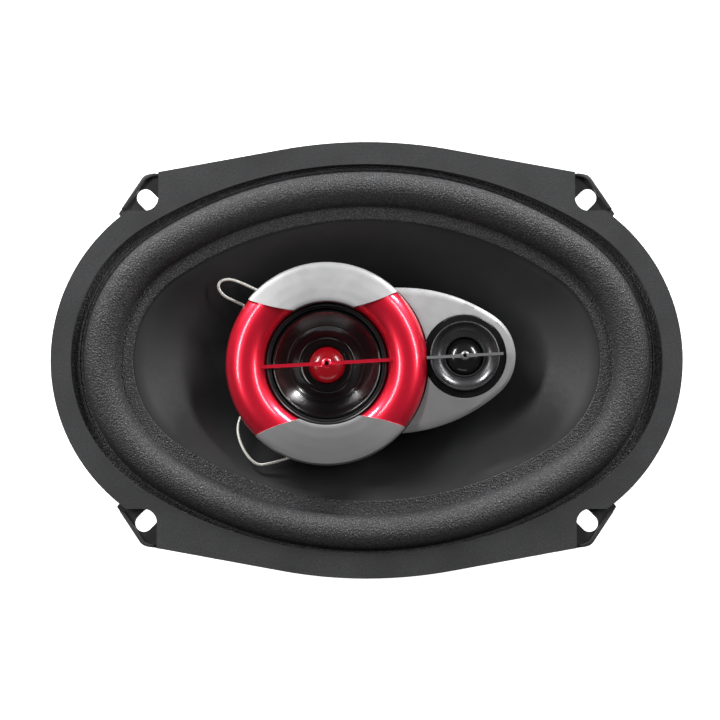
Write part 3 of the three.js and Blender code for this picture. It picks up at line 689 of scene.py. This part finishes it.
def window_cutter(angle, low_width, high_width, low=44.0, high=68.0, corner=4.0):
    """A rounded trapezium that points outwards at an angle."""
    w0, w1 = low_width / 2, high_width / 2
    steps = 6
    corners = [(-w0, low), (w0, low), (w1, high), (-w1, high)]
    outline = []
    for k, here in enumerate(corners):
        before, after = Vector(corners[k - 1]), Vector(corners[(k + 1) % 4])
        here = Vector(here)
        start = here + (before - here).normalized() * corner
        stop = here + (after - here).normalized() * corner
        for step in range(steps + 1):
            t = step / steps
            point = start * (1 - t) ** 2 + here * 2 * t * (1 - t) + stop * t ** 2
            outline.append((point.x, point.y))
    cutter = raised("window", outline, 35, 145)
    axes = Matrix(((0, 0, 1, 0), (1, 0, 0, 0), (0, 1, 0, 0), (0, 0, 0, 1)))
    return moved(cutter, turn_about("Z", angle) @ axes)


def basket():
    """The stamped steel basket: flange, bowl, ledge and motor pad in one sheet."""
    plate = raised("plate", flange_outline(), FLANGE_LOW, FLANGE_TOP)
    carved(plate, raised("hole", oval_outline(ROLL_OVAL, BOWL_OFFSET + 0.01, 220), 70, 90))
    carved(plate, *[raised("slot", slot_outline(sx, sy), 70, 90) for sx, sy in QUADRANTS])
    bevelled(plate, 0.25)
    pad = PAD_RADIUS - LEDGE_RADIUS
    section = [
        (0, PAD_HOLE - LEDGE_RADIUS, PAD_Z - SHEET), (0, pad + 0.4, PAD_Z - SHEET),
        (0, pad + 1.3, PAD_Z - 0.6), (0, pad + 3.0, LEDGE_Z - 2.2), (0, pad + 4.4, LEDGE_Z - SHEET),
        (0, 0.2, LEDGE_Z - SHEET), (0.03, 1.0, LEDGE_Z + 0.2), (0.5, SHEET, 56.0),
        (0.95, SHEET, 71.6), (1, SHEET, 74.4), (1, SHEET, FLANGE_LOW - 1.5),
        (1, SHEET + 1.2, FLANGE_LOW), (1, SHEET + 1.2, FLANGE_TOP - 0.1), (1, 0, FLANGE_TOP - 0.1),
        (1, 0, BOWL_TOP_Z + 1.2), (0.95, 0, 72.4), (0.5, 0, 57.0), (0, 0, LEDGE_Z + 0.4),
        (0, -0.6, LEDGE_Z), (0, pad + 3.6, LEDGE_Z), (0, pad + 2.0, LEDGE_Z - 1.8),
        (0, pad + 0.2, PAD_Z + 0.8), (0, pad - 0.8, PAD_Z), (0, PAD_HOLE - LEDGE_RADIUS, PAD_Z),
    ]
    bowl = bridged("bowl", section, 192, LEDGE_RADIUS, BOWL_OFFSET)
    cutters = []
    for base, widths in ((24, (30, 40)), (67, (24, 30))):
        cutters += [window_cutter(a, *widths) for a in (base, 180 - base, 180 + base, -base)]
    for k in range(8):
        vent = block("vent", (12, 12, 5), (PAD_RADIUS + 2, 0, 31.9))
        bevelled(vent, 1.6, 4)
        cutters.append(moved(vent, turn_about("Z", 45 * k)))
    for angle in RIVET_ANGLES:
        hole = raised("rivet_hole", circle(RIVET_CIRCLE, 0, RIVET_HOLE), 20, 32)
        cutters.append(moved(hole, turn_about("Z", angle)))
    carved(bowl, *cutters)
    bevelled(bowl, 0.22, 2, 50)
    beads = [bevelled(ear_bead(sx, sy), 0.3) for sx, sy in QUADRANTS]
    piece = joined("stamped_basket", bowl, plate, *beads)
    smoothed(piece, 32)
    dressed(piece, "painted_steel", "frame", "basket")


def gasket_notch(sx, sy):
    x, y, r = 78.4, 56.0, 5.0
    corner = arc(x + r, y + r, r, math.pi, math.pi * 1.5, 12)
    points = [(x, y + 50), *corner, (x + 60, y), (x + 60, y + 50)]
    return raised("notch", [(px * sx, py * sy) for px, py in points], 78, 92)


def rim_gasket():
    piece = raised("gasket", flange_outline(0.95, ()), FLANGE_TOP + 0.01, FLANGE_TOP + 4)
    hole = [(x, y + 0.5) for x, y in oval_outline(GASKET_OVAL, 0, 220)]
    rebate = oval_outline(ROLL_OVAL, FOAM_FLANGE + 0.2, 160)
    carved(piece, raised("hole", hole, 78, 92), raised("rebate", rebate, 78, FLANGE_TOP + 0.6))
    carved(piece, *[gasket_notch(sx, sy) for sx, sy in QUADRANTS])
    bevelled(piece, 0.5, 3)
    dressed(piece, "gasket_rubber", "frame", "rim_gasket")


# ---- the cone and what holds it ----

def weighted(piece, weight):
    """Bakes a piece's placement into its mesh and works out a weight for each point: weight(x, y, z) is 0 on
    the frame and 1 on the cone. The weights are not used.
    """
    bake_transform(piece)
    values = [float(weight(*(v.co / MM))) for v in piece.data.vertices]


def foam_surround():
    lip_top, flange_top = CONE_EDGE_Z + 0.8, FLANGE_TOP + 0.6

    def arch(inset, count):
        half, height = ROLL_WIDTH / 2 - inset, ROLL_HEIGHT - inset
        turns = [math.pi * k / count for k in range(count + 1)]
        return [(half * math.cos(t) - ROLL_WIDTH / 2,
                 lerp(flange_top, lip_top, t / math.pi) + height * math.sin(t)) for t in turns]

    lip_end = -ROLL_WIDTH - LIP_WIDTH
    section = [
        (FOAM_FLANGE, FLANGE_TOP), (FOAM_FLANGE, flange_top), (2.1, flange_top), (1.8, flange_top + 0.3),
        (1.4, flange_top + 0.35), (1.1, flange_top), (0.6, flange_top - 0.05), (0.25, flange_top + 0.1),
        *arch(0, 28)[1:-1], (-ROLL_WIDTH - 0.3, lip_top + 0.12), (-ROLL_WIDTH - 0.9, lip_top),
        (lip_end + 0.4, lip_top), (lip_end, lip_top - 0.35), (lip_end, CONE_EDGE_Z),
        (-ROLL_WIDTH + 1, CONE_EDGE_Z), *reversed(arch(1.0, 18)[1:-1]), (-0.8, FLANGE_TOP),
    ]
    piece = smoothed(oval_ring("surround", section, 256), 40)
    dressed(piece, "foam", None, "foam_surround")
    weighted(piece, lambda x, y, z: smooth(-oval_offset(ROLL_OVAL, x, y) / ROLL_WIDTH))


def woofer_cone():
    shares = [k / 16 for k in range(17)]
    lip, wall = CONE_LIP - CONE_EDGE, 1
    section = [(s, 0, cone_height(s)) for s in shares]
    section += [(1, 0.8, CONE_EDGE_Z - 0.02), (1, lip, CONE_EDGE_Z - 0.02), (1, lip, CONE_EDGE_Z - wall)]
    section += [(s, 0, cone_height(s) - wall) for s in reversed(shares)]
    piece = bridged("cone", section, 200, NECK_RADIUS, CONE_EDGE)
    carved(piece, *[raised("hole", circle(x, y, 1.9), 40, 90) for x, y in EYELETS])
    dressed(smoothed(piece, 40), "cone_paper", "woofer", "woofer_cone")


def spider():
    inner, rim, outer, z = 15.9, 50.5, 56.4, 39.3
    waves, depth, thickness = 4, 1.5, 0.5
    shares = [k / 96 for k in range(97)]
    wave = [(lerp(inner + 1.6, rim, s), z + depth * math.sin(2 * waves * math.pi * s)) for s in shares]
    path = [(inner, z + 0.6), (inner + 0.4, z), *wave, (rim + 1.5, LEDGE_Z + 0.6), (outer, LEDGE_Z + 0.6)]
    section = path + [(r, h - thickness) for r, h in reversed(path)]
    piece = lathed("spider_cloth", section, "spider_cloth", None, "spider", count=128, angle=50)
    weighted(piece, lambda x, y, z: smooth((rim - math.hypot(x, y)) / (rim - inner - 1)))


def coil_and_former():
    former = [(15.2, 17), (15.5, 17), (15.5, 46.5), (15.2, 46.5)]
    lathed("coil_former", former, "aluminium", "woofer", "voice_coil_former")
    winding = [(15.6, 18), (16, 18), (16.1, 18.2), (16.1, 28.8), (16, 29), (15.6, 29)]
    lathed("coil_winding", winding, "copper_wire", "woofer", "voice_coil_winding")
    ring = [
        (7.6, 44), (8.4, 44.5), (11, 45.7), (13, 45.9), (15, 45.2), (15, 45.9), (13, 46.6), (11, 46.4),
        (8.4, 45.2), (7.6, 44.8),
    ]
    lathed("post_dust_ring", ring, "felt", "woofer", "dust_ring", angle=50)


def cone_eyelets():
    for k, (x, y) in enumerate(EYELETS, 1):
        z = cone_top_at(x, y)
        section = [
            (0.9, z - 2.6), (1.3, z - 2.6), (1.5, z - 2.3), (1.5, z + 1.8), (2.2, z + 2), (2.6, z + 2.2),
            (2.5, z + 2.5), (1.9, z + 2.6), (1.2, z + 2.5), (0.9, z + 2.2),
        ]
        piece = shifted(smoothed(turned(f"lead_eyelet_{k}", section, 32), 50), x, y)
        dressed(piece, "tin_plate", "woofer", f"cone_eyelet_{k}")


# ---- the motor ----

def motor():
    yoke = [
        (8.7, 0), (38.6, 0), (39.4, 0.3), (40, 1.2), (40, 5.6), (39.6, 6), (14.9, 6), (14.9, 26.1),
        (14.5, 26.5), (4, 26.5), (3.6, 26.1), (3.6, 3.6), (8.5, 3.6), (8.5, 0.2),
    ]
    lathed("yoke_and_pole", yoke, "zinc_plate", "frame", "yoke", count=160, angle=30)
    ferrite = [
        (21, 6), (43.9, 6), (44.5, 6.3), (45, 7.1), (45, 19.9), (44.5, 20.7), (43.9, 21), (21, 21),
    ]
    lathed("ferrite_ring", ferrite, "ferrite", "frame", "ferrite_magnet", count=160, angle=30)
    face = [(16.7, 21), (40.6, 21), (41, 21.4), (41, 25.6), (40.6, 26), (16.7, 26)]
    plate = turned("front_plate", face, 160)
    carved(plate, *[raised("hole", circle(x, y, RIVET_HOLE), 18, 30) for x, y in rivet_places()])
    dressed(smoothed(plate, 30), "zinc_plate", "frame", "top_plate")


def rivet_places():
    return around(0, 0, RIVET_CIRCLE, [math.radians(angle) for angle in RIVET_ANGLES])


def basket_rivets():
    z = PAD_Z
    section = [
        (0, 21.3), (1.9, 21.3), (2.2, 21.6), (2.2, z), (4.2, z), (4.3, z + 0.4), (3.8, z + 1.1),
        (2.8, z + 1.6), (1.2, z + 1.85), (0, z + 1.85),
    ]
    for k, (x, y) in enumerate(rivet_places(), 1):
        piece = smoothed(turned(f"motor_rivet_{k}", section, 32), 50)
        dressed(shifted(piece, x, y), "screw_steel", "frame", f"basket_rivet_{k}")


def bridge():
    base, top = 26.5, 66.0
    post = [
        (0, 48), (2.9, 48), (2.9, base), (8.6, base), (9, base + 0.5), (9, base + 2.6), (8.4, base + 3),
        (6.8, base + 3.6), (6, base + 5), (6, 56), (6.4, 58.4), (10.6, 61.8), (11, 62.6), (11, 65.6),
        (10.6, top), (2.1, top), (2.1, 52), (0, 52),
    ]
    lathed("post_column", post, "black_plastic", "frame", "bridge_post", count=64)
    shank = [(0, 0.7), (4.7, 0.7), (5.2, 1.2), (5.2, 2.8), (2.5, 2.8), (2.5, 45.4), (2, 46), (0, 46)]
    bolt = turned("long_bolt", shank, 48)
    for angle in (0, 90):
        carved(bolt, moved(block("cross", (6.4, 1.1, 1.6), (0, 0, 0.9)), turn_about("Z", angle)))
    dressed(smoothed(bolt), "screw_steel", "frame", "post_bolt")
    washer = [(2.9, 2.8), (6.8, 2.8), (7, 3), (7, 3.4), (6.8, 3.6), (2.9, 3.6)]
    lathed("bolt_washer", washer, "screw_steel", "frame", "post_washer", count=48)
    screw = [
        (0, 54), (1.2, 54), (1.7, 55), (1.7, 68), (3.5, 68), (3.6, 68.6), (2.9, 69.7), (1.4, 70), (0, 70),
    ]
    lathed("carrier_screw", screw, "screw_steel", "frame", "pod_screw", count=32, angle=50)


# ---- the pod ----

def lobe_outline():
    """The teardrop of the carrier, drawn in the pod's own frame: a round tip and two flat arcs."""
    side_x, side_y, side_radius = 10.8, 34.9, 62.34
    meet = math.atan2(side_y, TIP_X - side_x)
    tip = arc(TIP_X, 0, 18.4, -meet, meet, 72)
    upper = arc(side_x, -side_y, side_radius, meet, math.pi / 2 + 0.13, 40)
    lower = [(x, -y) for x, y in reversed(upper)]
    return thinned(tip + upper + [(MID_X, 20), (MID_X, -20)] + lower)


def lobe_crown(x, y):
    """The lobe's top falls away from its middle line towards its edges."""
    across = min(abs(y) / 27, 1)
    along = max((x - 20) / 36, 0)
    middle, side_drop, tip_drop = 86.7, 3.4, 0.8
    return middle - side_drop * across ** 1.7 - tip_drop * along ** 2


def lobe_deck():
    """The crowned teardrop: rings drawn from its middle line out to its edge, then down a short wall."""
    rim = lobe_outline()
    wall, edge, turndown, low = 0.5, 1.3, 0.9, 79.0
    section = [(k / 18, None) for k in range(19)] + [(1.0, wall), (1.0, low), (0.0, low)]

    def place(point, angle):
        share, level = point
        ex, ey = rim[round(angle * len(rim) / (2 * math.pi)) % len(rim)]
        x, y = lerp(min(max(ex, MID_X), TIP_X), ex, share), lerp(0, ey, share)
        if level == low:
            return x, y, low
        close = max(0.0, 1 - math.hypot(ex - x, ey - y) / edge)
        return x, y, lobe_crown(x, y) - turndown * close ** 2 - (level or 0)

    return carried("deck", section, len(rim), place, closed=False)


def on_axis(name, side, count, x):
    """A round solid about a driver's axis, from the points of its side."""
    section = [(0, side[0][1]), *side, (0, side[-1][1])]
    return shifted(turned(name, section, count), x)


def carrier():
    """The pod body: a crowned teardrop deck over two cups."""
    deck = lobe_deck()
    collar = on_axis("collar", [(36.6, 79), (36.6, 83.6), (36.2, 84)], 128, MID_X)
    cup = on_axis("cup", [(20.6, 66), (21.5, 66.9), (26.6, 80)], 128, MID_X)
    well = on_axis("well", [(15.4, 69.5), (16.2, 70.3), (16.2, 80)], 96, TWEETER_X)
    room = on_axis("room", [(38.3, 70), (38.3, 95)], 160, MID_X)
    carved(deck, room, on_axis("bore", [(15.7, 73), (15.7, 95)], 96, TWEETER_X))
    for part in (collar, cup):
        carved(part, on_axis("cavity", [(19.5, 68), (24.3, 79), (24.3, 95)], 128, MID_X))
    carved(well, on_axis("bore", [(14.3, 71.5), (14.3, 95)], 96, TWEETER_X))
    for part in (deck, collar, cup, well):
        bevelled(part, 0.22, 2, 45)
    piece = joined("pod_carrier", deck, collar, cup, well)
    smoothed(on_pod(piece), 40)
    dressed(piece, "satin_silver", "frame", "pod_body")


def trim_ring():
    """The crowned ring, with a skirt on its outer edge."""
    turns = [math.pi * k / 40 for k in range(41)]
    crown = [(RING_MIDDLE + RING_HALF * math.cos(t), RING_Z + RING_CROWN * math.sin(t)) for t in turns]
    skirt = [(36.9, 84.05), (36.9, 80.8), (37.2, 80.5), (37.7, 80.5), (38, 80.8)]
    section = [*skirt, *crown, (22.9, 84.3), (23.1, 84.05)]
    lathed("red_ring", section, "gloss_red", "frame", "trim_ring", count=200, angle=50, x=MID_X)


def cap_height(r):
    """The cap slopes down evenly to its outer edge, which it turns over."""
    reaches = [22.9, 24, 28, 32, 36, 37.4, 37.9, 38.05]
    heights = [93.6, 93.75, 93.0, 91.95, 90.7, 90.0, 89.3, 88.4]
    return float(np.interp(r, reaches, heights))


def crown_height(r):
    """The trim ring's own top, half an ellipse from its inner edge to its outer one."""
    return RING_Z + RING_CROWN * math.sqrt(max(0.0, 1 - ((r - RING_MIDDLE) / RING_HALF) ** 2))


def crescent_cap(name, node_name, side):
    """One silver crescent that sits down on the ring, between the ring's edge and a large arc."""
    columns, rows = 96, 22
    corner = math.radians(42.6)
    arc_y, arc_radius = 86.4, 67.1
    inmost, outer, seat, thinnest = 23.1, 38.05, 0.25, 0.5
    grid_add = bpy.ops.mesh.primitive_grid_add
    piece = primitive(name, grid_add, x_subdivisions=columns, y_subdivisions=rows, size=2)

    def rise():
        bpy.ops.mesh.extrude_region_move(TRANSFORM_OT_translate={"value": (0, 0, 1)})

    in_edit(piece, rise)
    for vertex in piece.data.vertices:
        angle = lerp(corner, math.pi - corner, (vertex.co.x + 1) / 2)
        level = arc_y * math.sin(angle)
        inner = max(level - math.sqrt(max(level ** 2 - (arc_y ** 2 - arc_radius ** 2), 0)), inmost)
        reach = lerp(min(inner, outer - 0.15), outer, (vertex.co.y + 1) / 2)
        top = cap_height(reach)
        low = min(crown_height(reach) - seat, top - thinnest)
        height = top if vertex.co.z > 0.5 else low
        vertex.co = Vector((reach * math.cos(angle), side * reach * math.sin(angle), height)) * MM
    in_edit(piece, merge, face_outwards)
    bevelled(piece, 0.22, 3, 50)
    dressed(on_pod(piece, MID_X), "satin_silver", "frame", node_name)


def guard_bar(name, node_name, slot, x, half, width, low, height, boss):
    """A thin bar that thickens into a pierced boss."""
    bar = block("bar", (2 * half, width, height), (0, 0, low + height / 2))
    in_edit(bar, lambda: bpy.ops.mesh.subdivide(number_cuts=9))
    for vertex in bar.data.vertices:
        near = max(0, 1 - abs(vertex.co.x / MM) / (boss * 2.4))
        vertex.co.y *= 1 + near * 0.9
    top, hole = low + height + 0.6, boss * 0.42
    side = [(boss * 0.8, low - 0.5), (boss, low), (boss * 0.9, low + height + 0.2), (boss * 0.62, top)]
    middle = turned("boss", [(0, low - 0.5), *side, (0, top)], 40)
    carved(bar, middle, operation="UNION")
    carved(bar, turned("pierce", [(0, low - 3), (hole, low - 3), (hole, low + 5), (0, low + 5)], 32))
    bevelled(bar, 0.16, 2, 40)
    dressed(on_pod(bar, x), slot, "frame", node_name)
    bar.name = name
    # painted shade: a black disc closes the bottom of the boss's hole so that the hole reads dark
    painted_shade_disc = [(0, low - 0.2), (hole, low - 0.2), (hole, low + 0.1), (hole * 0.5, low), (0, low - 0.05)]
    lathed(name + "_plug", painted_shade_disc, "black_plastic", "frame", count=24, x=x)


def dome_section(radius, base, height, steps, inside, film):
    """A film dome: its arch from the top down, and the same arch again just inside it."""
    turns = [math.pi / 2 * k / steps for k in range(steps + 1)]
    arch = [(radius * math.sin(t), base + height * math.cos(t)) for t in turns]
    return arch + [(r * inside, z - film) for r, z in reversed(arch)]


def midrange():
    seal = [
        (20.9, 84.5), (22.7, 84.5), (22.75, 86.1), (22.6, 86.7), (22.2, 86.95), (21.9, 86.75), (21.7, 86.6),
        (21.4, 86.9), (21.1, 86.85), (20.9, 86.3),
    ]
    lathed("rubber_seal", seal, "seal_rubber", "frame", "midrange_seal", count=160, angle=50, x=MID_X)
    film = [
        (10.4, 77.7), (14.3, 79.9), (17.2, 81.9), (19.3, 83.8), (19.8, 84.2), (20.65, 84.3), (20.65, 84.9),
        (20.35, 85.2), (19.95, 85.2), (19.55, 84.9), (19.1, 84.5), (17.2, 82.75), (14.95, 81.05),
        (14.75, 81.1), (14.5, 80.95), (14.25, 80.65), (12.4, 79.55), (10.7, 78.75), (10.5, 78.85),
        (10.3, 78.8), (10.1, 78.55), (8.6, 78.1), (7.8, 78.1), (7.5, 78.5), (7.2, 78.3), (7.1, 77.6),
        (8.4, 77.3),
    ]
    lathed("midrange_film_cone", film, "gloss_black", "midrange", "midrange_cone",
           count=180, angle=40, x=MID_X)
    dome = dome_section(6.9, 77.5, 3.6, 14, 0.93, 0.5)
    lathed("red_dome", dome, "gloss_red", "midrange", "midrange_dome", angle=60, x=MID_X, finish="dome_red")
    cup = [
        (11.6, 74.4), (13.8, 74.4), (14.4, 74.7), (23.9, 82), (23.9, 83.7), (21, 83.7), (22.6, 82.6),
        (13.6, 75.6), (11.6, 75.6),
    ]
    lathed("midrange_cup", cup, "black_plastic", "frame", "midrange_frame", x=MID_X)
    guard_bar("red_guard_bar", "midrange_bar", "gloss_red", MID_X,
              half=24.9, width=1.3, low=88.3, height=1.0, boss=2.1)


def tweeter():
    recess = [
        (12.9, 82.6), (14, 82.6), (14, 84.2), (15.6, 84.2), (15.65, 85.2), (15.3, 85.5), (13.3, 85.4),
        (13.1, 85.2), (12.9, 84),
    ]
    lathed("tweeter_recess", recess, "bezel_black", "frame", "tweeter_bezel",
           count=120, angle=40, x=TWEETER_X)
    dish = [
        (7.2, 82.6), (12.8, 82.6), (13.0, 84), (13.1, 88.0), (12.95, 88.4), (12.6, 88.5), (12.35, 88.2),
        (12.15, 87.7), (11.5, 86.7), (10.7, 85.85), (9.7, 85.2), (8.7, 84.85), (8.0, 84.8), (7.8, 85.2),
        (7.6, 85.45), (7.35, 85.4), (7.2, 85.1),
    ]
    lathed("tweeter_dish", dish, "bezel_black", "frame", "tweeter_bezel",
           count=160, angle=40, x=TWEETER_X, finish="dish_satin")
    dome = dome_section(6.8, 83.4, 3.6, 12, 0.94, 0.4)
    lathed("tweeter_film_dome", dome, "dome_black", "tweeter", "tweeter_dome",
           count=80, angle=60, x=TWEETER_X)
    guard_bar("grey_guard_bar", "tweeter_bar", "bar_grey", TWEETER_X,
              half=14.3, width=1.05, low=89.2, height=0.9, boss=1.8)


def capacitors():
    sizes = [("midrange_capacitor", 3.6, -13.5, -1.0), ("tweeter_capacitor", 3.2, 1.5, 12.0)]
    for name, radius, low, high in sizes:
        section = [
            (0, low), (radius - 0.5, low), (radius - 0.1, low + 0.2), (radius, low + 0.6),
            (radius - 0.25, low + 1.5), (radius, low + 2.2), (radius, high - 0.6), (radius - 0.2, high - 0.1),
            (radius - 0.9, high), (radius - 1.1, high - 0.3), (0, high - 0.3),
        ]
        piece = turned(name + "_can", section, 40)
        moved(piece, by(16.1, 0, 78.7 - radius) @ turn_about("X", -90))
        dressed(on_pod(smoothed(piece)), "capacitor_sleeve", "frame", name)


# ---- terminals and leads ----

def on_terminal(item):
    return moved(item, by(*TERMINAL_AT) @ turn_about("Y", TERMINAL_TILT))


def terminals():
    """A fibre board with two riveted tabs, the wide one positive."""
    board = block("riveted_board", (15, 32, 1.6), (0, 0, 0.8))
    rivets = (-3, 3)
    for x in rivets:
        carved(board, raised("hole", circle(x, 0, 1.7), -2, 4))
    bevelled(board, 0.35, 2)
    dressed(on_terminal(board), "fibre_board", "frame", "terminal_board")
    blade_x, thickness, taper = 2.6, 0.8, 0.8
    for name, width, side in (("terminal_positive", 6.3, 1), ("terminal_negative", 4.8, -1)):
        y = 9 * side
        base = block("base", (9, width, thickness), (-1.5, y, -0.7))
        blade = block("blade", (thickness, width, 10.4), (blade_x, y, -5.5))
        lug = block("lug", (3, 9, thickness), (-3, 13.4 * side, -0.7))
        for vertex in blade.data.vertices:
            if vertex.co.z < -8 * MM:
                vertex.co.y = y * MM + (vertex.co.y - y * MM) * taper
        hole = turned("hole", [(0, -3), (0.9, -3), (0.9, 3), (0, 3)], 20)
        carved(blade, moved(hole, by(blade_x, y, -6.5) @ turn_about("Y", 90)))
        for part in (base, blade, lug):
            bevelled(part, 0.15, 2)
        dressed(on_terminal(joined(name + "_tab", base, blade, lug)), "tin_plate", "frame", name)
    for k, x in enumerate(rivets, 1):
        section = [(0, -1.2), (1.6, -1.15), (2.6, -0.7), (3, -0.2), (3, 0), (1.4, 0), (1.4, 1.6), (0, 1.6)]
        piece = shifted(smoothed(turned(f"board_rivet_{k}", section, 32), 50), x)
        dressed(on_terminal(piece), "screw_steel", "frame", f"terminal_rivet_{k}")


LEADS = {
    "front_lead_upper": (0, 1, [
        (-33, 22.5, 77.6), (-37, 24.6, 77.5), (-40.8, 26.3, 77.6), (-47.1, 29.2, 78.2), (-51.7, 30.6, 79),
        (-55.2, 29.8, 79.4), (-56, 27.5, 79), (-54, 24.6, 77.8), (-50, 22.6, 76), (-46.3, 20.9, 74),
        (-42, 18.8, 70.5), (-38.6, 16.2, 67.6)]),
    "front_lead_lower": (1, 1, [
        (-25, -35.2, 77.4), (-28.4, -36.5, 77.4), (-31.7, -37.6, 77.6), (-36.8, -39, 78.4),
        (-40.8, -39.3, 79), (-44.2, -36.8, 79), (-47.1, -32.1, 78), (-48.6, -27, 76.2), (-48.3, -23, 74.2),
        (-46.6, -18.6, 71.8), (-44.4, -15.4, 70.4)]),
    "rear_lead_positive": (0, -1, [
        (-80.8, 17.2, 52.8), (-80.2, 18.2, 55.8), (-76.5, 19.4, 58.6), (-70, 19.6, 58.4), (-60, 18.6, 56.2),
        (-50, 17.4, 54.8), (-42, 16, 55.4), (-38.2, 15.2, 57)]),
    "rear_lead_negative": (1, -1, [
        (-80.8, -17.2, 52.8), (-80.2, -18.2, 55.8), (-76.5, -19.4, 58.6), (-70, -19, 59), (-61, -17, 57.8),
        (-52, -15.2, 57.6), (-46.4, -14.4, 58.8), (-44, -14.1, 60)]),
}


def spaced(points, step):
    """Points along a smooth curve through the given ones, about a step apart."""
    given = [Vector(p) for p in points]
    ends = [given[0] * 2 - given[1], *given, given[-1] * 2 - given[-2]]
    parts = 24
    fine = []
    for k in range(1, len(ends) - 2):
        a, b, c, d = ends[k - 1:k + 3]
        for part in range(parts):
            t = part / parts
            squared, cubed = (2 * a - 5 * b + 4 * c - d) * t ** 2, (3 * b - a - 3 * c + d) * t ** 3
            fine.append(0.5 * ((2 * b) + (c - a) * t + squared + cubed))
    fine.append(given[-1])
    lengths = np.concatenate([[0], np.cumsum([(q - p).length for p, q in zip(fine, fine[1:])])])
    wanted = np.linspace(0, lengths[-1], int(lengths[-1] / step) + 1)
    columns = [np.interp(wanted, lengths, [p[axis] for p in fine]) for axis in range(3)]
    return [Vector(p) for p in zip(*columns)]


def tinsel_lead(name, eyelet, side, route):
    """A limp lead of five strands laid round each other, from the pod or the board to an eyelet."""
    x, y = EYELETS[eyelet]
    end = (x, y, cone_top_at(x, y) + side * 3.1)
    step = 0.3
    path = spaced([*route, end], step)
    strands, lay, radius, thread = 5, 3.4, 0.33, 0.24
    curve = bpy.data.curves.new(name, "CURVE")
    curve.dimensions = "3D"
    curve.bevel_depth = thread * MM
    curve.bevel_resolution = 1
    normal = Vector((0, 0, 1))
    turns = []
    for k, point in enumerate(path):
        tangent = (path[min(k + 1, len(path) - 1)] - path[max(k - 1, 0)]).normalized()
        normal = (normal - tangent * normal.dot(tangent)).normalized()
        turns.append((point, normal.copy(), tangent.cross(normal)))
    for strand in range(strands):
        spline = curve.splines.new("POLY")
        spline.points.add(len(path) - 1)
        spline.use_cyclic_u = False
        for k, (point, first, second) in enumerate(turns):
            angle = 2 * math.pi * (strand / strands + k * step / lay)
            spot = (point + first * radius * math.cos(angle) + second * radius * math.sin(angle)) * MM
            spline.points[k].co = (*spot, 1)
    curve.use_fill_caps = True
    item = bpy.data.objects.new(name + "_braid", curve)
    bpy.context.scene.collection.objects.link(item)
    only(item)
    bpy.ops.object.convert(target="MESH")
    item = bpy.context.object
    in_edit(item, face_outwards)
    smoothed(item, 60)
    dressed(item, "tinsel_braid", None, name)
    centres = np.array(path)
    shares = np.linspace(0, 1, len(path))

    def along(px, py, pz):
        near = np.argmin(((centres - np.array((px, py, pz))) ** 2).sum(1))
        return smooth(shares[near])

    weighted(item, along)


# ---- the whole ----

def floor():
    plane = primitive("floor", bpy.ops.mesh.primitive_plane_add, size=8)
    _, shader = new_finish("floor", (0.93, 0.93, 0.93), 0.9)
    shader.inputs["Emission Color"].default_value = (1, 1, 1, 1)
    shader.inputs["Emission Strength"].default_value = 0.72
    plane.data.materials.append(FINISHES["floor"])
    plane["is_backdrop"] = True


def finish_remaining_nodes():
    """CAD parts whose shape is right stay, with a better material."""
    slots = {row["node"]: row["material_slot"] for row in frame["record"]["subparts"]}
    for name, item in frame["nodes"].items():
        item.data.materials.clear()
        item.data.materials.append(FINISHES[slots[name]])


camera()
studio()
floor()
finish_remaining_nodes()
for make in (basket, rim_gasket, foam_surround, woofer_cone, spider, coil_and_former, cone_eyelets, motor,
             basket_rivets, bridge, carrier, trim_ring):
    make()
crescent_cap("silver_cap_upper", "cap_upper", 1)
crescent_cap("silver_cap_lower", "cap_lower", -1)
for make in (midrange, tweeter, capacitors, terminals):
    make()
for lead_name, (eyelet, side, route) in LEADS.items():
    tinsel_lead(lead_name, eyelet, side, route)

boxes = {"cad": cad_box, "visual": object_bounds()}
boxes = {name: [list(map(float, corner)) for corner in box] for name, box in boxes.items()}
